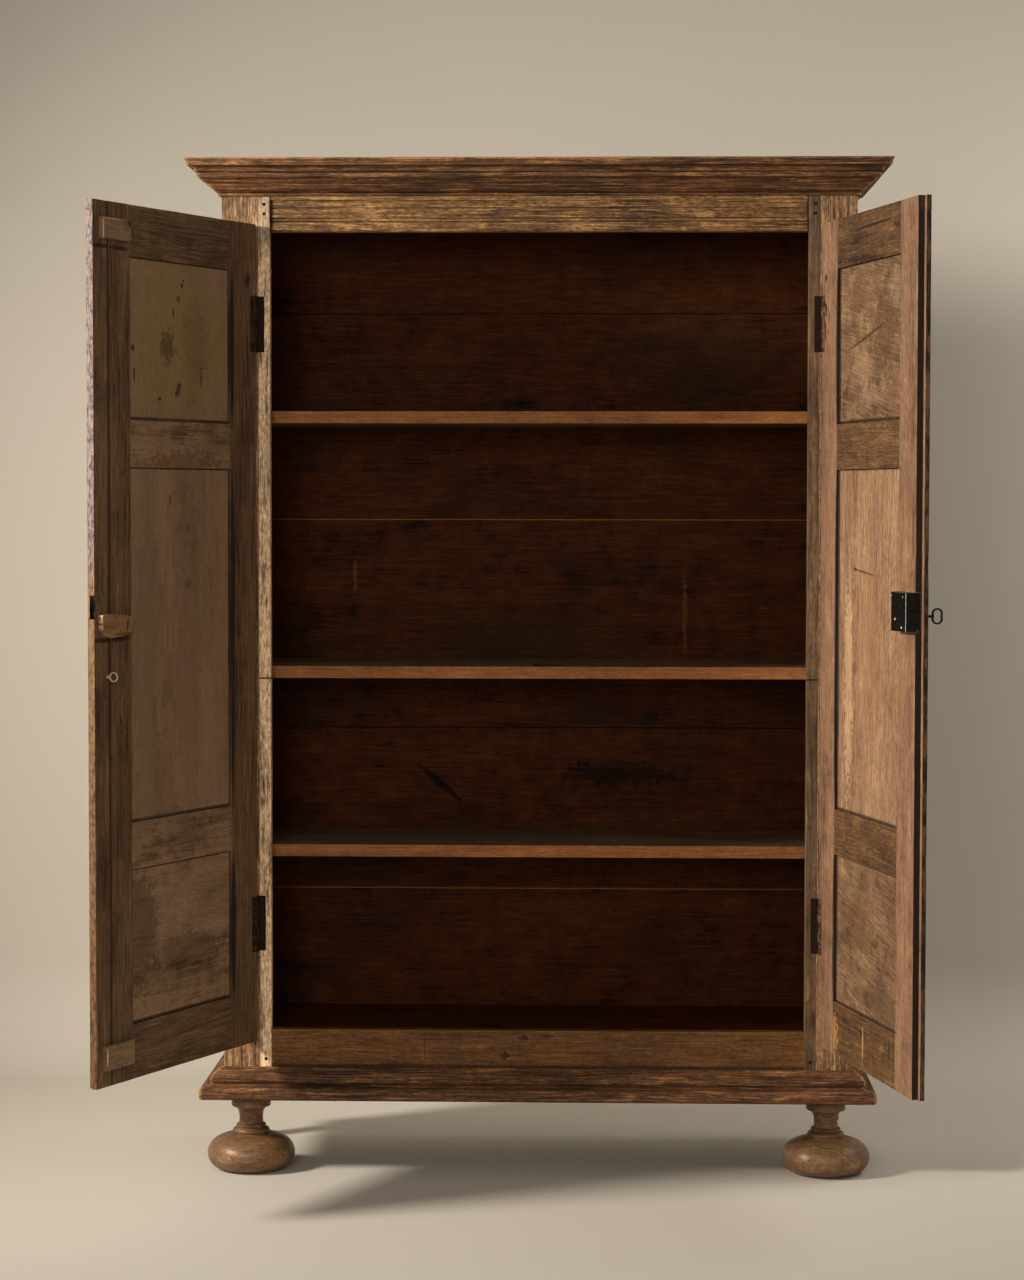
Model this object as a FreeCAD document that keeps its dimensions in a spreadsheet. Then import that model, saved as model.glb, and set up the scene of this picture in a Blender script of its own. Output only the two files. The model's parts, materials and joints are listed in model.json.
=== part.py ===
import FreeCAD, Part
import Sketcher
import os

# A tall two-door cupboard (trastero) on turned feet, standing open.
# Frame: +Z up, the front faces -Y, +X is the viewer's right. The origin is on the floor, under
# the middle of the whole cupboard with its doors open. The pieces are first laid out from the
# middle of the posts' front faces, and then all moved by the two origin sizes.
# Lengths are millimetres, angles degrees.

SIZES = (
    ("origin_side", "35.5", "middle of the open cupboard to the middle of the carcass, towards the right"),
    ("origin_back", "98.7", "middle of the open cupboard to the posts' front faces, towards the back"),
    # carcass
    ("body_width", "1300", "outside of the posts, side to side"),
    ("body_depth", "380", "front of the posts to the back boards' outer face"),
    ("foot_height", "160", "floor to the underside of the carcass"),
    ("base_height", "63", "height of the base moulding"),
    ("rail_show", "78", "bottom rail seen above the base moulding"),
    ("opening_height", "1644", "clear height between bottom rail and frieze"),
    ("frieze_show", "73", "frieze seen below the cornice"),
    ("cornice_height", "72", "height of the cornice moulding"),
    ("post_width", "75", "front post, side to side"),
    ("post_depth", "44", "front post, front to back"),
    ("strip_width", "24", "hinge strip nailed to the inner side of the post"),
    ("strip_depth", "26", "hinge strip, front to back"),
    ("strip_joint_drop", "23", "butt joint in the hinge strips, under the middle shelf's surface"),
    ("rear_post_width", "60", "rear post, side to side"),
    ("rear_post_depth", "45", "rear post, front to back"),
    ("side_thick", "18", "side panel"),
    ("side_inset", "8", "side panel's outer face behind the posts' sides"),
    ("side_tongue", "9", "side panel's seat in the posts' grooves"),
    ("frieze_depth", "24", "frieze board, front to back"),
    ("rail_depth", "26", "bottom rail, front to back"),
    ("back_thick", "16", "back boards"),
    ("back_gap", "1.6", "open joint between back boards"),
    ("back_lap", "12", "lap of each back board behind the next one up"),
    ("top_thick", "20", "top board"),
    ("top_drop", "2", "top board below the cornice's upper edge"),
    ("floor_thick", "20", "cupboard floor"),
    ("floor_drop", "8", "cupboard floor below the bottom rail's upper edge"),
    ("shelf_thick", "25", "shelves"),
    ("shelf_setback", "1", "shelf edge behind the posts' rear faces"),
    ("shelf_upper_top", "1581", "upper shelf's surface above the floor"),
    ("shelf_middle_top", "1053", "middle shelf's surface above the floor"),
    ("shelf_lower_top", "681", "lower shelf's surface above the floor"),
    ("shelf_play", "1.5", "shelf clear of the side panels and rear posts"),
    ("cleat_width", "24", "shelf cleat, off the side panel"),
    ("cleat_height", "28", "shelf cleat, under the shelf"),
    # turned feet
    ("foot_inset", "50", "foot centre in from the posts' outer sides"),
    ("foot_front", "50", "front foot centre behind the posts' faces"),
    ("foot_ball_radius", "92", "flattened ball of the front feet"),
    ("rear_leg_width", "34", "square leg under each rear post, flush with its outer side"),
    ("rear_leg_low", "50", "height of the turned glide under the leg"),
    ("glide_radius", "18", "glide's disc on the floor"),
    # mouldings
    ("cornice_reach", "67", "cornice beyond the posts' faces"),
    ("base_reach", "47", "base moulding beyond the posts' faces"),
    # doors
    ("door_thick", "22", "stiles and rails"),
    ("door_side_lap", "24.4", "door over the hinge strip"),
    ("door_top_lap", "15", "door over the frieze"),
    ("door_bottom_lap", "23", "door over the bottom rail"),
    ("door_clear", "0.6", "closed door in front of the posts' faces"),
    ("meeting_gap", "3", "between the two doors when closed"),
    ("open_left", "115.3", "left door's angle as photographed"),
    ("open_right", "103.5", "right door's angle as photographed"),
    ("left_hinge_stile", "97", "left door"),
    ("left_free_stile", "70", "left door, board beside the edge board"),
    ("left_edge_board", "52", "left door, board at the free edge"),
    ("right_hinge_stile", "100", "right door"),
    ("right_free_stile", "96", "right door"),
    ("top_rail_height", "99", "both doors"),
    ("mid_rail_height", "91.5", "both doors"),
    ("bottom_rail_height", "107", "both doors"),
    ("upper_rail_drop", "501", "underside of the upper middle rail, from the door's top"),
    ("lower_rail_rise", "406.5", "underside of the lower middle rail, from the door's foot"),
    ("tenon_length", "26", "rail tenons in the stiles"),
    ("tenon_thick", "8", "rail tenons"),
    ("tenon_shoulder", "12", "rail tenon's end shoulders"),
    ("panel_tongue", "8", "panel's seat in the grooves"),
    ("panel_thick", "5", "panel's tongue"),
    ("panel_recess", "3", "panel's inner face behind the stiles' inner face"),
    ("panel_start", "9", "tongue behind the stiles' inner face"),
    ("panel_reveal", "1", "dark line round a panel's flat"),
    ("panel_shrink", "4.5", "wider line on the hinge side of a panel"),
    ("field_rise", "5", "raised field on the outer face"),
    ("field_bevel", "36", "bevel round the raised field"),
    ("lap_width", "10.4", "right door's lip past its inner shoulder"),
    ("lap_depth", "12.4", "shoulder depth of the right door's rebate"),
    ("lap_play", "1.5", "lip clear of the left door's rebate, sideways"),
    ("lap_face_play", "1", "lip clear of the left door's rebate, in depth"),
    # hinges
    ("pivot_out", "5.6", "hinge axis beyond the door's edge"),
    ("pivot_front", "5.5", "hinge axis in front of the posts' faces"),
    ("knuckle_radius", "5", "hinge knuckles"),
    ("knuckle_gap", "0.4", "between hinge knuckles"),
    ("pin_radius", "2.5", "hinge pin"),
    ("pin_play", "0.05", "radial clearance round the hinge pin"),
    ("pin_cap_radius", "4", "domed end of the hinge pin"),
    ("pin_cap_height", "3.5", "domed end of the hinge pin"),
    ("leaf_thick", "1.8", "hinge leaves, let in flush"),
    ("leaf_width", "18", "frame leaf from the axis"),
    ("door_leaf_width", "20", "door leaf from the door's edge"),
    ("web_width", "3", "wrap of a leaf round its knuckle"),
    ("hinge_height", "114", "whole hinge"),
    ("hinge_drop", "203", "middle of the upper hinges, from the door's top"),
    ("hinge_rise", "244", "middle of the lower hinges, from the door's foot"),
    # wooden blocks on the left door
    ("block_proud", "10", "blocks off the inner face"),
    ("block_length", "93", "top block"),
    ("block_height", "40", "top block"),
    ("block_edge", "20", "top block in from the free edge"),
    ("block_top_drop", "72", "underside of the top block, from the door's top"),
    ("block_split", "0.8", "open split across the top block"),
    ("block_split_share", "0.64", "place of the split along the top block"),
    ("block_low_height", "47", "bottom block"),
    ("block_low_rise", "33", "underside of the bottom block, from the door's foot"),
    ("keeper_length", "104", "middle block"),
    ("keeper_height", "46", "middle block"),
    ("keeper_edge", "11", "middle block in from the free edge"),
    ("keeper_drop", "18", "underside of the middle block, under the lock case"),
    ("notch_width", "18", "bolt notch in the free edge"),
    ("notch_depth", "10", "bolt notch, in the thickness"),
    ("notch_height", "44", "bolt notch"),
    ("notch_rise", "19", "underside of the bolt notch, over the case's underside"),
    # screw eye on the left door
    ("eye_edge", "42", "screw eye in from the free edge"),
    ("eye_rise", "8", "screw eye over the middle shelf's surface"),
    ("eye_radius", "8.4", "ring's centre line"),
    ("eye_wire", "1.6", "ring's wire radius"),
    ("eye_reach", "14", "ring's centre off the inner face"),
    ("eye_collar", "3.4", "collar's radius on the wood"),
    ("eye_collar_height", "1.6", "collar's height"),
    # hook on the middle shelf
    ("hook_place_x", "-4", "hook's pin, side to side"),
    ("hook_place_back", "12", "hook's pin behind the shelf's edge"),
    ("hook_pin_radius", "3.3", "pin in the shelf"),
    ("hook_pin_height", "4.6", "pin under its head"),
    ("hook_head_radius", "5.4", "pin's head"),
    ("hook_head_height", "1.4", "pin's head"),
    ("hook_wire", "1.6", "hook's wire radius"),
    ("hook_eye_height", "2.6", "hook's flattened eye round the pin"),
    ("hook_play", "0.08", "radial clearance round the pin"),
    ("hook_length", "52", "pin to tip"),
    ("hook_tip", "8", "upturned tip"),
    ("hook_lift", "0.4", "hook above the shelf"),
    # lock on the right door
    ("case_width", "82", "lock case along the door"),
    ("case_height", "74", "lock case"),
    ("case_proud", "19", "lock case off the inner face"),
    ("case_wall", "2", "lock case's iron"),
    ("case_place", "1153", "underside of the lock case"),
    ("forend_depth", "10", "lock case's lip over the shoulder"),
    ("bolt_length", "60", "lock bolt"),
    ("bolt_height", "20", "lock bolt"),
    ("bolt_half_depth", "8", "lock bolt each side of the inner face"),
    ("bolt_rise", "39", "underside of the bolt, over the case's underside"),
    ("bolt_play", "0.4", "bolt clear of its slot"),
    ("bolt_back", "0.5", "withdrawn bolt behind the lock's edge"),
    ("bolt_throw", "12", "travel of the bolt"),
    ("rivet_radius", "2.6", "domed rivets on the case"),
    ("rivet_height", "1.6", "domed rivets on the case"),
    # key
    ("key_edge", "43.9", "key's axis in from the shoulder"),
    ("key_rise", "28", "key's axis over the case's underside"),
    ("key_shank_radius", "2.6", "shank"),
    ("key_play", "0.4", "shank clear of its hole"),
    ("key_inside", "14", "shank past the inner face"),
    ("key_outside", "26", "shank past the outer face, up to the bow"),
    ("key_stop_radius", "4", "collar on the shank"),
    ("key_stop_height", "3", "collar on the shank"),
    ("bow_radius", "10.8", "each lobe of the bow"),
    ("bow_offset", "4.6", "lobe's centre from the key's axis"),
    ("bow_band", "3.2", "width of the bow's iron"),
    ("bow_thick", "3.6", "thickness of the bow's iron"),
    ("bit_reach", "10", "bit's edge from the key's axis"),
    ("bit_thick", "2.6", "bit"),
    ("bit_start", "1", "bit behind the inner face"),
    ("bit_width", "6.5", "bit, along the shank"),
    ("bit_play", "1", "bit clear of its pocket"),
    ("ward_width", "1.8", "cut in the bit"),
    # nails
    ("nail_radius", "3.4", "strip nails' heads"),
    ("nail_proud", "0.9", "strip nails' heads"),
    ("nail_taper", "1.1", "strip nails' heads"),
    ("nail_end", "16", "nail in from a strip's end"),
    ("overrun", "6", "cutters past the face they open"),
)

# outlines as shares (out, up) of a moulding's reach and height, from the wall's foot upward
CORNICE_SHARES = (
    (0.06, 0.0), (0.09, 0.02), (0.105, 0.05), (0.09, 0.08), (0.065, 0.09), (0.13, 0.11), (0.2, 0.145),
    (0.27, 0.205), (0.31, 0.27), (0.36, 0.28), (0.36, 0.315), (0.42, 0.335), (0.49, 0.39), (0.54, 0.455),
    (0.61, 0.46), (0.65, 0.49), (0.67, 0.54), (0.66, 0.59), (0.62, 0.605), (0.62, 0.625), (0.71, 0.635),
    (0.745, 0.69), (0.755, 0.76), (0.88, 0.775), (0.95, 0.8), (0.96, 0.925), (1.0, 0.94), (1.0, 1.0),
)
BASE_SHARES = (
    (0.9, 0.0), (0.97, 0.035), (1.0, 0.1), (1.0, 0.28), (0.97, 0.36), (0.9, 0.41), (0.66, 0.425), (0.54, 0.455),
    (0.47, 0.5), (0.455, 0.53), (0.53, 0.54), (0.56, 0.58), (0.56, 0.7), (0.54, 0.725), (0.5, 0.735),
    (0.5, 0.755), (0.48, 0.79), (0.36, 0.87), (0.2, 0.94), (0.13, 0.985), (0.1, 1.0),
)
# frieze, as shares (out, up) of its depth and seen height
FRIEZE_SHARES = (
    (0.5, 0.0), (0.64, 0.025), (0.74, 0.07), (0.8, 0.13), (0.83, 0.27), (0.72, 0.285), (0.72, 0.3),
    (0.82, 0.315), (0.86, 0.34), (0.82, 0.37), (0.72, 0.38), (0.72, 0.395), (0.8, 0.41), (0.8, 0.655),
    (0.72, 0.665), (0.72, 0.685), (0.8, 0.7), (0.8, 0.885), (1.0, 0.9), (1.0, 1.0),
)
# lobed middle block, as shares (along, up) of its length and height, from the free edge
KEEPER_SHARES = (
    (0.0, 0.42), (0.07, 0.3), (0.12, 0.1), (0.3, 0.0), (0.72, 0.06), (1.0, 0.2), (1.0, 0.82), (0.7, 0.94),
    (0.14, 1.0), (0.02, 0.96), (0.0, 0.74), (0.05, 0.58),
)
# back boards from the lowest up, as shares of the back's height; the top board takes the rest
BACK_SHARES = (0.2055, 0.184, 0.2385, 0.2327)
# rivets, as shares (along from the free side, up) of the case's width and height
RIVET_SHARES = ((0.93, 0.89), (0.15, 0.88), (0.67, 0.31), (0.22, 0.11))
# turned feet, as shares (out, up) of their radius and height
# where a row has four shares, an arc runs through the first pair to the second
BALL_FOOT_SHARES = (
    (0.0, 0.0), (0.717, 0.0, 1.0, 0.206), (0.413, 0.4625), (0.358, 0.4625, 0.375, 0.494), (0.337, 0.525),
    (0.295, 0.525, 0.306, 0.553), (0.283, 0.581), (0.272, 0.581, 0.261, 0.6625), (0.293, 0.756, 0.337, 0.806),
    (0.424, 0.831), (0.446, 0.831), (0.446, 1.0), (0.0, 1.0),
)
GLIDE_SHARES = (
    (0.0, 0.0), (0.9, 0.0), (1.0, 0.1), (1.0, 0.3), (0.6, 0.42), (0.36, 0.5), (0.36, 0.9), (0.55, 1.0),
    (0.0, 1.0),
)
MIDDLE_SHARE = 0.5
RIVET_TOP_SHARE = 0.55
ELBOW_SHARE = 1.12
TIP_SHARE = 0.9
KNUCKLES = 5
HALF = 2
SQUARE_TURN = 90
SIDES = (("left", -1), ("right", 1))

ACROSS = FreeCAD.Vector(1, 0, 0)
DEEP = FreeCAD.Vector(0, 1, 0)
UP = FreeCAD.Vector(0, 0, 1)


class Size:
    """A number together with the expression that it comes from."""

    def __init__(self, value, text):
        self.value = value
        self.text = text

    def join(self, other, sign, value):
        return Size(value, "(" + self.text + " " + sign + " " + as_size(other).text + ")")

    def __add__(self, other):
        return self.join(other, "+", self.value + as_size(other).value)

    def __radd__(self, other):
        return as_size(other) + self

    def __sub__(self, other):
        return self.join(other, "-", self.value - as_size(other).value)

    def __rsub__(self, other):
        return as_size(other) - self

    def __mul__(self, other):
        return self.join(other, "*", self.value * as_size(other).value)

    def __rmul__(self, other):
        return as_size(other) * self

    def __truediv__(self, other):
        return self.join(other, "/", self.value / as_size(other).value)

    def __neg__(self):
        return Size(-self.value, "(0 - " + self.text + ")")


def as_size(number):
    if isinstance(number, Size):
        return number
    return Size(float(number), repr(float(number)))


class Named:
    """Every driving size under its own name."""


doc = FreeCAD.newDocument("trastero")
sheet = doc.addObject("Spreadsheet::Sheet", "Sizes")
size = Named()
NODES = []


def fill_sheet():
    for row, (name, number, note) in enumerate(SIZES, start=1):
        sheet.set("A" + str(row), name)
        sheet.set("B" + str(row), number)
        sheet.set("C" + str(row), note)
        sheet.setAlias("B" + str(row), name)
        setattr(size, name, Size(float(number), "Sizes." + name))
    doc.recompute()


def bind(thing, prop, amount):
    thing.setExpression(prop, as_size(amount).text)


def place(thing, base, angle=0, axis=UP):
    """Puts an object at a point, turned about an axis through its own origin."""
    spot = [as_size(part) for part in base]
    turn = as_size(angle)
    thing.Placement = FreeCAD.Placement(
        FreeCAD.Vector(*[part.value for part in spot]), FreeCAD.Rotation(axis, turn.value))
    for letter, part in zip("xyz", spot):
        bind(thing, "Placement.Base." + letter, part)
    if isinstance(angle, Size):
        bind(thing, "Placement.Rotation.Angle", turn)


def box(name, across, deep, high):
    """A block between pairs of low and high sides."""
    thing = doc.addObject("Part::Box", name)
    for prop, (low, top) in zip(("Length", "Width", "Height"), (across, deep, high)):
        bind(thing, prop, as_size(top) - low)
    place(thing, (across[0], deep[0], high[0]))
    return thing


def rod(name, radius, length, base, axis=UP, angle=0):
    thing = doc.addObject("Part::Cylinder", name)
    bind(thing, "Radius", radius)
    bind(thing, "Height", length)
    place(thing, base, angle, axis)
    return thing


def cone(name, low_radius, high_radius, length, base, axis=UP, angle=0):
    thing = doc.addObject("Part::Cone", name)
    bind(thing, "Radius1", low_radius)
    bind(thing, "Radius2", high_radius)
    bind(thing, "Height", length)
    place(thing, base, angle, axis)
    return thing


def ring(name, radius, wire, base, axis=UP, angle=0):
    thing = doc.addObject("Part::Torus", name)
    bind(thing, "Radius1", radius)
    bind(thing, "Radius2", wire)
    place(thing, base, angle, axis)
    return thing


def fuse(name, parts):
    if len(parts) == 1:
        return parts[0]
    thing = doc.addObject("Part::MultiFuse", name)
    thing.Shapes = parts
    return thing


def cut(name, solid, tools):
    thing = doc.addObject("Part::Cut", name)
    thing.Base = solid
    thing.Tool = fuse(name + "_tools", tools)
    return thing


def group(name, parts):
    thing = doc.addObject("Part::Compound", name)
    thing.Links = parts
    return thing


def node(name, thing):
    """Names a finished piece of the cupboard, and moves it to the cupboard's own origin."""
    thing.Label = name + "_laid_out"
    whole = group(name + "_whole", [thing])
    whole.Label = name
    place(whole, (size.origin_side, size.origin_back, 0))
    NODES.append((name, whole))


def origin_plane(body, role):
    for feature in body.Origin.OriginFeatures:
        if feature.Role == role:
            return feature
    raise RuntimeError("no plane " + role)


def hold(sketch, index, side, spot):
    """Ties one point of a sketch to its two sizes."""
    for kind, axis, amount in (("DistanceX", -2, as_size(spot[0])), ("DistanceY", -1, as_size(spot[1]))):
        if amount.value == 0:
            sketch.addConstraint(Sketcher.Constraint("PointOnObject", index, side, axis))
        else:
            which = sketch.addConstraint(Sketcher.Constraint(kind, -1, 1, index, side, amount.value))
            sketch.setExpression("Constraints[" + str(which) + "]", amount.text)


def flat_point(spot):
    return FreeCAD.Vector(as_size(spot[0]).value, as_size(spot[1]).value, 0)


def outline(body, name, path):
    """A closed sketch on the body's XZ plane. A corner is (out, up), and a corner followed by an arc
    is (out, up, middle out, middle up)."""
    sketch = body.newObject("Sketcher::SketchObject", name)
    sketch.AttachmentSupport = [(origin_plane(body, "XZ_Plane"), "")]
    sketch.MapMode = "FlatFace"
    count = len(path)
    starts = []
    for place_in, corner in enumerate(path):
        first = flat_point(corner)
        last = flat_point(path[(place_in + 1) % count])
        if len(corner) == 2:
            starts.append((sketch.addGeometry(Part.LineSegment(first, last)), 1, None))
            continue
        middle = flat_point(corner[2:])
        forward = (middle - first).cross(last - middle).z > 0
        ends = (first, last) if forward else (last, first)
        index = sketch.addGeometry(Part.Arc(ends[0], middle, ends[1]))
        mark = sketch.addGeometry(Part.Point(middle), True)
        starts.append((index, 1 if forward else 2, mark))
    for place_in, (index, side, mark) in enumerate(starts):
        following = starts[(place_in + 1) % count]
        sketch.addConstraint(Sketcher.Constraint("Coincident", index, 3 - side, following[0], following[1]))
    for (index, side, mark), corner in zip(starts, path):
        hold(sketch, index, side, corner)
        if mark is not None:
            hold(sketch, mark, 1, corner[2:])
            sketch.addConstraint(Sketcher.Constraint("PointOnObject", mark, 1, index))
    return sketch


def moulding(name, points, length, base, angle):
    """A run of moulding: its outline faces out along the turned +X, the run is centred on the base."""
    body = doc.addObject("PartDesign::Body", name + "_run")
    sketch = outline(body, name + "_outline", points)
    pad = body.newObject("PartDesign::Pad", name + "_pad")
    pad.Profile = sketch
    pad.Midplane = True
    bind(pad, "Length", length)
    sketch.Visibility = False
    body.Tip = pad
    place(body, base, angle)
    return body


def half_width():
    return size.body_width / HALF


def carcass_top():
    """Underside of the top board."""
    return frieze_top() + size.cornice_height - size.top_drop - size.top_thick


def base_top():
    return size.foot_height + size.base_height


def rail_top():
    return base_top() + size.rail_show


def opening_top():
    return rail_top() + size.opening_height


def frieze_top():
    return opening_top() + size.frieze_show


def opening_half():
    return half_width() - size.post_width - size.strip_width


def back_face():
    """Inner face of the back boards."""
    return size.body_depth - size.back_thick


def side_inner():
    return half_width() - size.side_inset - size.side_thick


def mirrored(sign, low, high):
    """A pair of sides, low and high, for the left (-1) or the right (1)."""
    if sign > 0:
        return (as_size(low), as_size(high))
    return (-as_size(high), -as_size(low))


def leaf_spots():
    return (("upper", door_top() - size.hinge_drop), ("lower", door_bottom() + size.hinge_rise))


def hinge_edge():
    """Door's hinge edge from the middle plane, closed."""
    return opening_half() + size.door_side_lap


def pivot_side():
    return hinge_edge() + size.pivot_out


def leaf_recess(name, sign, middle):
    """Room for a frame leaf in the strip and the post."""
    return box(name, mirrored(sign, pivot_side() - size.leaf_width, pivot_side() + size.web_width),
               (-size.overrun, size.leaf_thick),
               (middle - size.hinge_height / HALF, middle + size.hinge_height / HALF))


def side_panel_sides(sign):
    return mirrored(sign, side_inner(), half_width() - size.side_inset)


def make_posts():
    for side, sign in SIDES:
        groove = box("side_groove_" + side, side_panel_sides(sign),
                     (size.post_depth - size.side_tongue, back_face() - size.rear_post_depth + size.side_tongue),
                     (size.foot_height - size.overrun, carcass_top() + size.overrun))
        front = box("front_post_block_" + side, mirrored(sign, half_width() - size.post_width, half_width()),
                    (0, size.post_depth), (size.foot_height, carcass_top()))
        tools = [groove]
        for level, middle in leaf_spots():
            tools.append(leaf_recess("post_recess_" + side + "_" + level, sign, middle))
        node("post_front_" + side, cut("post_front_" + side, front, tools))
        rear = box("rear_post_block_" + side, mirrored(sign, half_width() - size.rear_post_width, half_width()),
                   (back_face() - size.rear_post_depth, back_face()), (size.foot_height, carcass_top()))
        node("post_rear_" + side, cut("post_rear_" + side, rear, [groove]))


def make_strips():
    joint = size.shelf_middle_top - size.strip_joint_drop
    for side, sign in SIDES:
        tools = []
        for level, middle in leaf_spots():
            tools.append(leaf_recess("strip_recess_" + side + "_" + level, sign, middle))
        spans = (("lower", size.foot_height, joint), ("upper", joint, frieze_top()))
        for level, low, high in spans:
            blank = box("strip_block_" + side + "_" + level,
                        mirrored(sign, opening_half(), opening_half() + size.strip_width),
                        (0, size.strip_depth), (low, high))
            node("strip_" + side + "_" + level, cut("strip_" + side + "_" + level, blank, tools))


def make_sides():
    for side, sign in SIDES:
        panel = box("side_" + side, side_panel_sides(sign),
                    (size.post_depth - size.side_tongue, back_face() - size.rear_post_depth + size.side_tongue),
                    (size.foot_height, carcass_top()))
        node("side_" + side, panel)


def make_front_boards():
    points = [(0, 0)]
    for out, up in FRIEZE_SHARES:
        points.append((size.frieze_depth * out, size.frieze_show * up))
    points.append((0, size.frieze_show))
    node("frieze", moulding("frieze", points, opening_half() * HALF, (0, size.frieze_depth, opening_top()),
                            -SQUARE_TURN))
    rail = box("bottom_rail", (-opening_half(), opening_half()), (0, size.rail_depth),
               (size.foot_height, rail_top()))
    node("bottom_rail", rail)


def mitre(name, sign, turn, height, low):
    """A block with one side on the mitre plane through a front corner of the carcass."""
    reach = size.body_width
    block = doc.addObject("Part::Box", name)
    bind(block, "Length", reach)
    bind(block, "Width", reach)
    bind(block, "Height", height + size.overrun * HALF)
    place(block, (half_width() * sign, 0, low - size.overrun), turn)
    return block


def make_band(name, shares, reach, height, low):
    """Front and side runs of one moulding, mitred at the front corners."""
    points = [(0, 0)]
    for out, up in shares:
        points.append((reach * out, height * up))
    points.append((0, height))
    eighth = SQUARE_TURN / HALF
    front = moulding(name + "_front", points, size.body_width + reach * HALF, (0, 0, low), -SQUARE_TURN)
    ends = [mitre(name + "_end_left", -1, SQUARE_TURN + eighth, height, low),
            mitre(name + "_end_right", 1, -eighth, height, low)]
    node(name + "_front", cut(name + "_front", front, ends))
    run = size.body_depth + reach
    for side, sign in SIDES:
        turn = 0 if sign > 0 else SQUARE_TURN * HALF
        flank = moulding(name + "_" + side, points, run, (half_width() * sign, run / HALF - reach, low), turn)
        end = mitre(name + "_flank_" + side, sign, SQUARE_TURN * HALF + eighth, height, low)
        node(name + "_" + side, cut(name + "_" + side, flank, [end]))


def make_top_and_floor():
    top = box("top_board", (-half_width(), half_width()), (0, size.body_depth),
              (carcass_top(), carcass_top() + size.top_thick))
    node("top_board", top)
    high = rail_top() - size.floor_drop
    blank = box("floor_block", (-side_inner(), side_inner()), (size.rail_depth, back_face()),
                (high - size.floor_thick, high))
    tools = []
    for side, sign in SIDES:
        tools.append(box("floor_front_notch_" + side,
                         mirrored(sign, opening_half(), half_width()),
                         (-size.overrun, size.post_depth),
                         (high - size.floor_thick - size.overrun, high + size.overrun)))
        tools.append(rear_notch("floor_rear_notch_" + side, sign, high, size.floor_thick, 0))
    node("floor_board", cut("floor_board", blank, tools))


def rear_notch(name, sign, high, thick, play):
    return box(name, mirrored(sign, half_width() - size.rear_post_width - play, half_width()),
               (back_face() - size.rear_post_depth - play, size.body_depth),
               (high - thick - size.overrun, high + size.overrun))


def make_back():
    whole = carcass_top() - size.foot_height
    heights = [whole * share for share in BACK_SHARES]
    low = size.foot_height
    boards = []
    for index, tall in enumerate(heights):
        boards.append(lapped_board("back_board_" + str(index), low, low + tall - size.back_gap, index > 0, True))
        low = low + tall
    boards.append(lapped_board("back_board_top", low, carcass_top(), True, False))
    node("back_boards", group("back_boards", boards))


def lapped_board(name, low, high, laps_below, laps_above):
    """A back board, stepped so that its rear half reaches up behind the board above."""
    middle = back_face() + size.back_thick / HALF
    wide = (-half_width() - size.overrun, half_width() + size.overrun)
    top = high + size.back_lap if laps_above else high
    blank = box(name, (-half_width(), half_width()), (back_face(), size.body_depth), (low, top))
    steps = []
    if laps_above:
        steps.append(box(name + "_step_above", wide, (back_face() - size.overrun, middle),
                         (high, top + size.overrun)))
    if laps_below:
        steps.append(box(name + "_step_below", wide, (middle, size.body_depth + size.overrun),
                         (low - size.overrun, low + size.back_lap)))
    return cut(name + "_lapped", blank, steps)


def shelf_tops():
    return (("upper", size.shelf_upper_top), ("middle", size.shelf_middle_top), ("lower", size.shelf_lower_top))


def shelf_front():
    return size.post_depth + size.shelf_setback


def make_shelves():
    cleats = []
    for level, high in shelf_tops():
        wide = side_inner() - size.shelf_play
        blank = box("shelf_block_" + level, (-wide, wide), (shelf_front(), back_face()),
                    (high - size.shelf_thick, high))
        tools = []
        for side, sign in SIDES:
            tools.append(rear_notch("shelf_notch_" + level + "_" + side, sign, high, size.shelf_thick,
                                    size.shelf_play))
            across = mirrored(sign, side_inner() - size.cleat_width, side_inner())
            cleats.append(box("cleat_" + level + "_" + side, across,
                              (size.post_depth, back_face() - size.rear_post_depth),
                              (high - size.shelf_thick - size.cleat_height, high - size.shelf_thick)))
        node("shelf_" + level, cut("shelf_" + level, blank, tools))
    node("shelf_cleats", group("shelf_cleats", cleats))


def make_feet():
    """Turned ball feet in front; a plain square leg on a small turned glide under each rear post."""
    for side, sign in SIDES:
        front = turned_foot("foot_front_" + side, BALL_FOOT_SHARES, size.foot_ball_radius, size.foot_height)
        place(front, ((half_width() - size.foot_inset) * sign, size.foot_front, 0))
        node("foot_front_" + side, front)
        leg = box("rear_leg_" + side, mirrored(sign, half_width() - size.rear_leg_width, half_width()),
                  (back_face() - size.rear_leg_width, back_face()), (size.rear_leg_low, size.foot_height))
        glide = turned_foot("glide_" + side, GLIDE_SHARES, size.glide_radius, size.rear_leg_low)
        half_leg = size.rear_leg_width / HALF
        place(glide, ((half_width() - half_leg) * sign, back_face() - half_leg, 0))
        node("foot_rear_" + side, fuse("foot_rear_" + side, [leg, glide]))


def turned_foot(name, shares, radius, height):
    """A foot turned from one outline."""
    path = []
    for corner in shares:
        path.append(tuple(part * (height if spot % HALF else radius) for spot, part in enumerate(corner)))
    body = doc.addObject("PartDesign::Body", name + "_turned")
    sketch = outline(body, name + "_outline", path)
    turning = body.newObject("PartDesign::Revolution", name + "_turning")
    turning.Profile = sketch
    turning.ReferenceAxis = (sketch, ["V_Axis"])
    turning.Angle = SQUARE_TURN * HALF * HALF
    body.Tip = turning
    return body


def door_top():
    return opening_top() + size.door_top_lap


def door_bottom():
    return rail_top() - size.door_bottom_lap


def door_width():
    """Hinge edge to free edge; on the right door, to the inner shoulder."""
    return hinge_edge() - size.meeting_gap / HALF


def door_side(sign, along):
    """Door's own X of a place measured from the hinge edge. The hinge axis is the door's origin."""
    return (as_size(along) + size.pivot_out) * -sign


def door_deep(back):
    """Door's own Y of a depth measured from the inner face outward."""
    return size.pivot_front - size.door_clear - back


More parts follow.
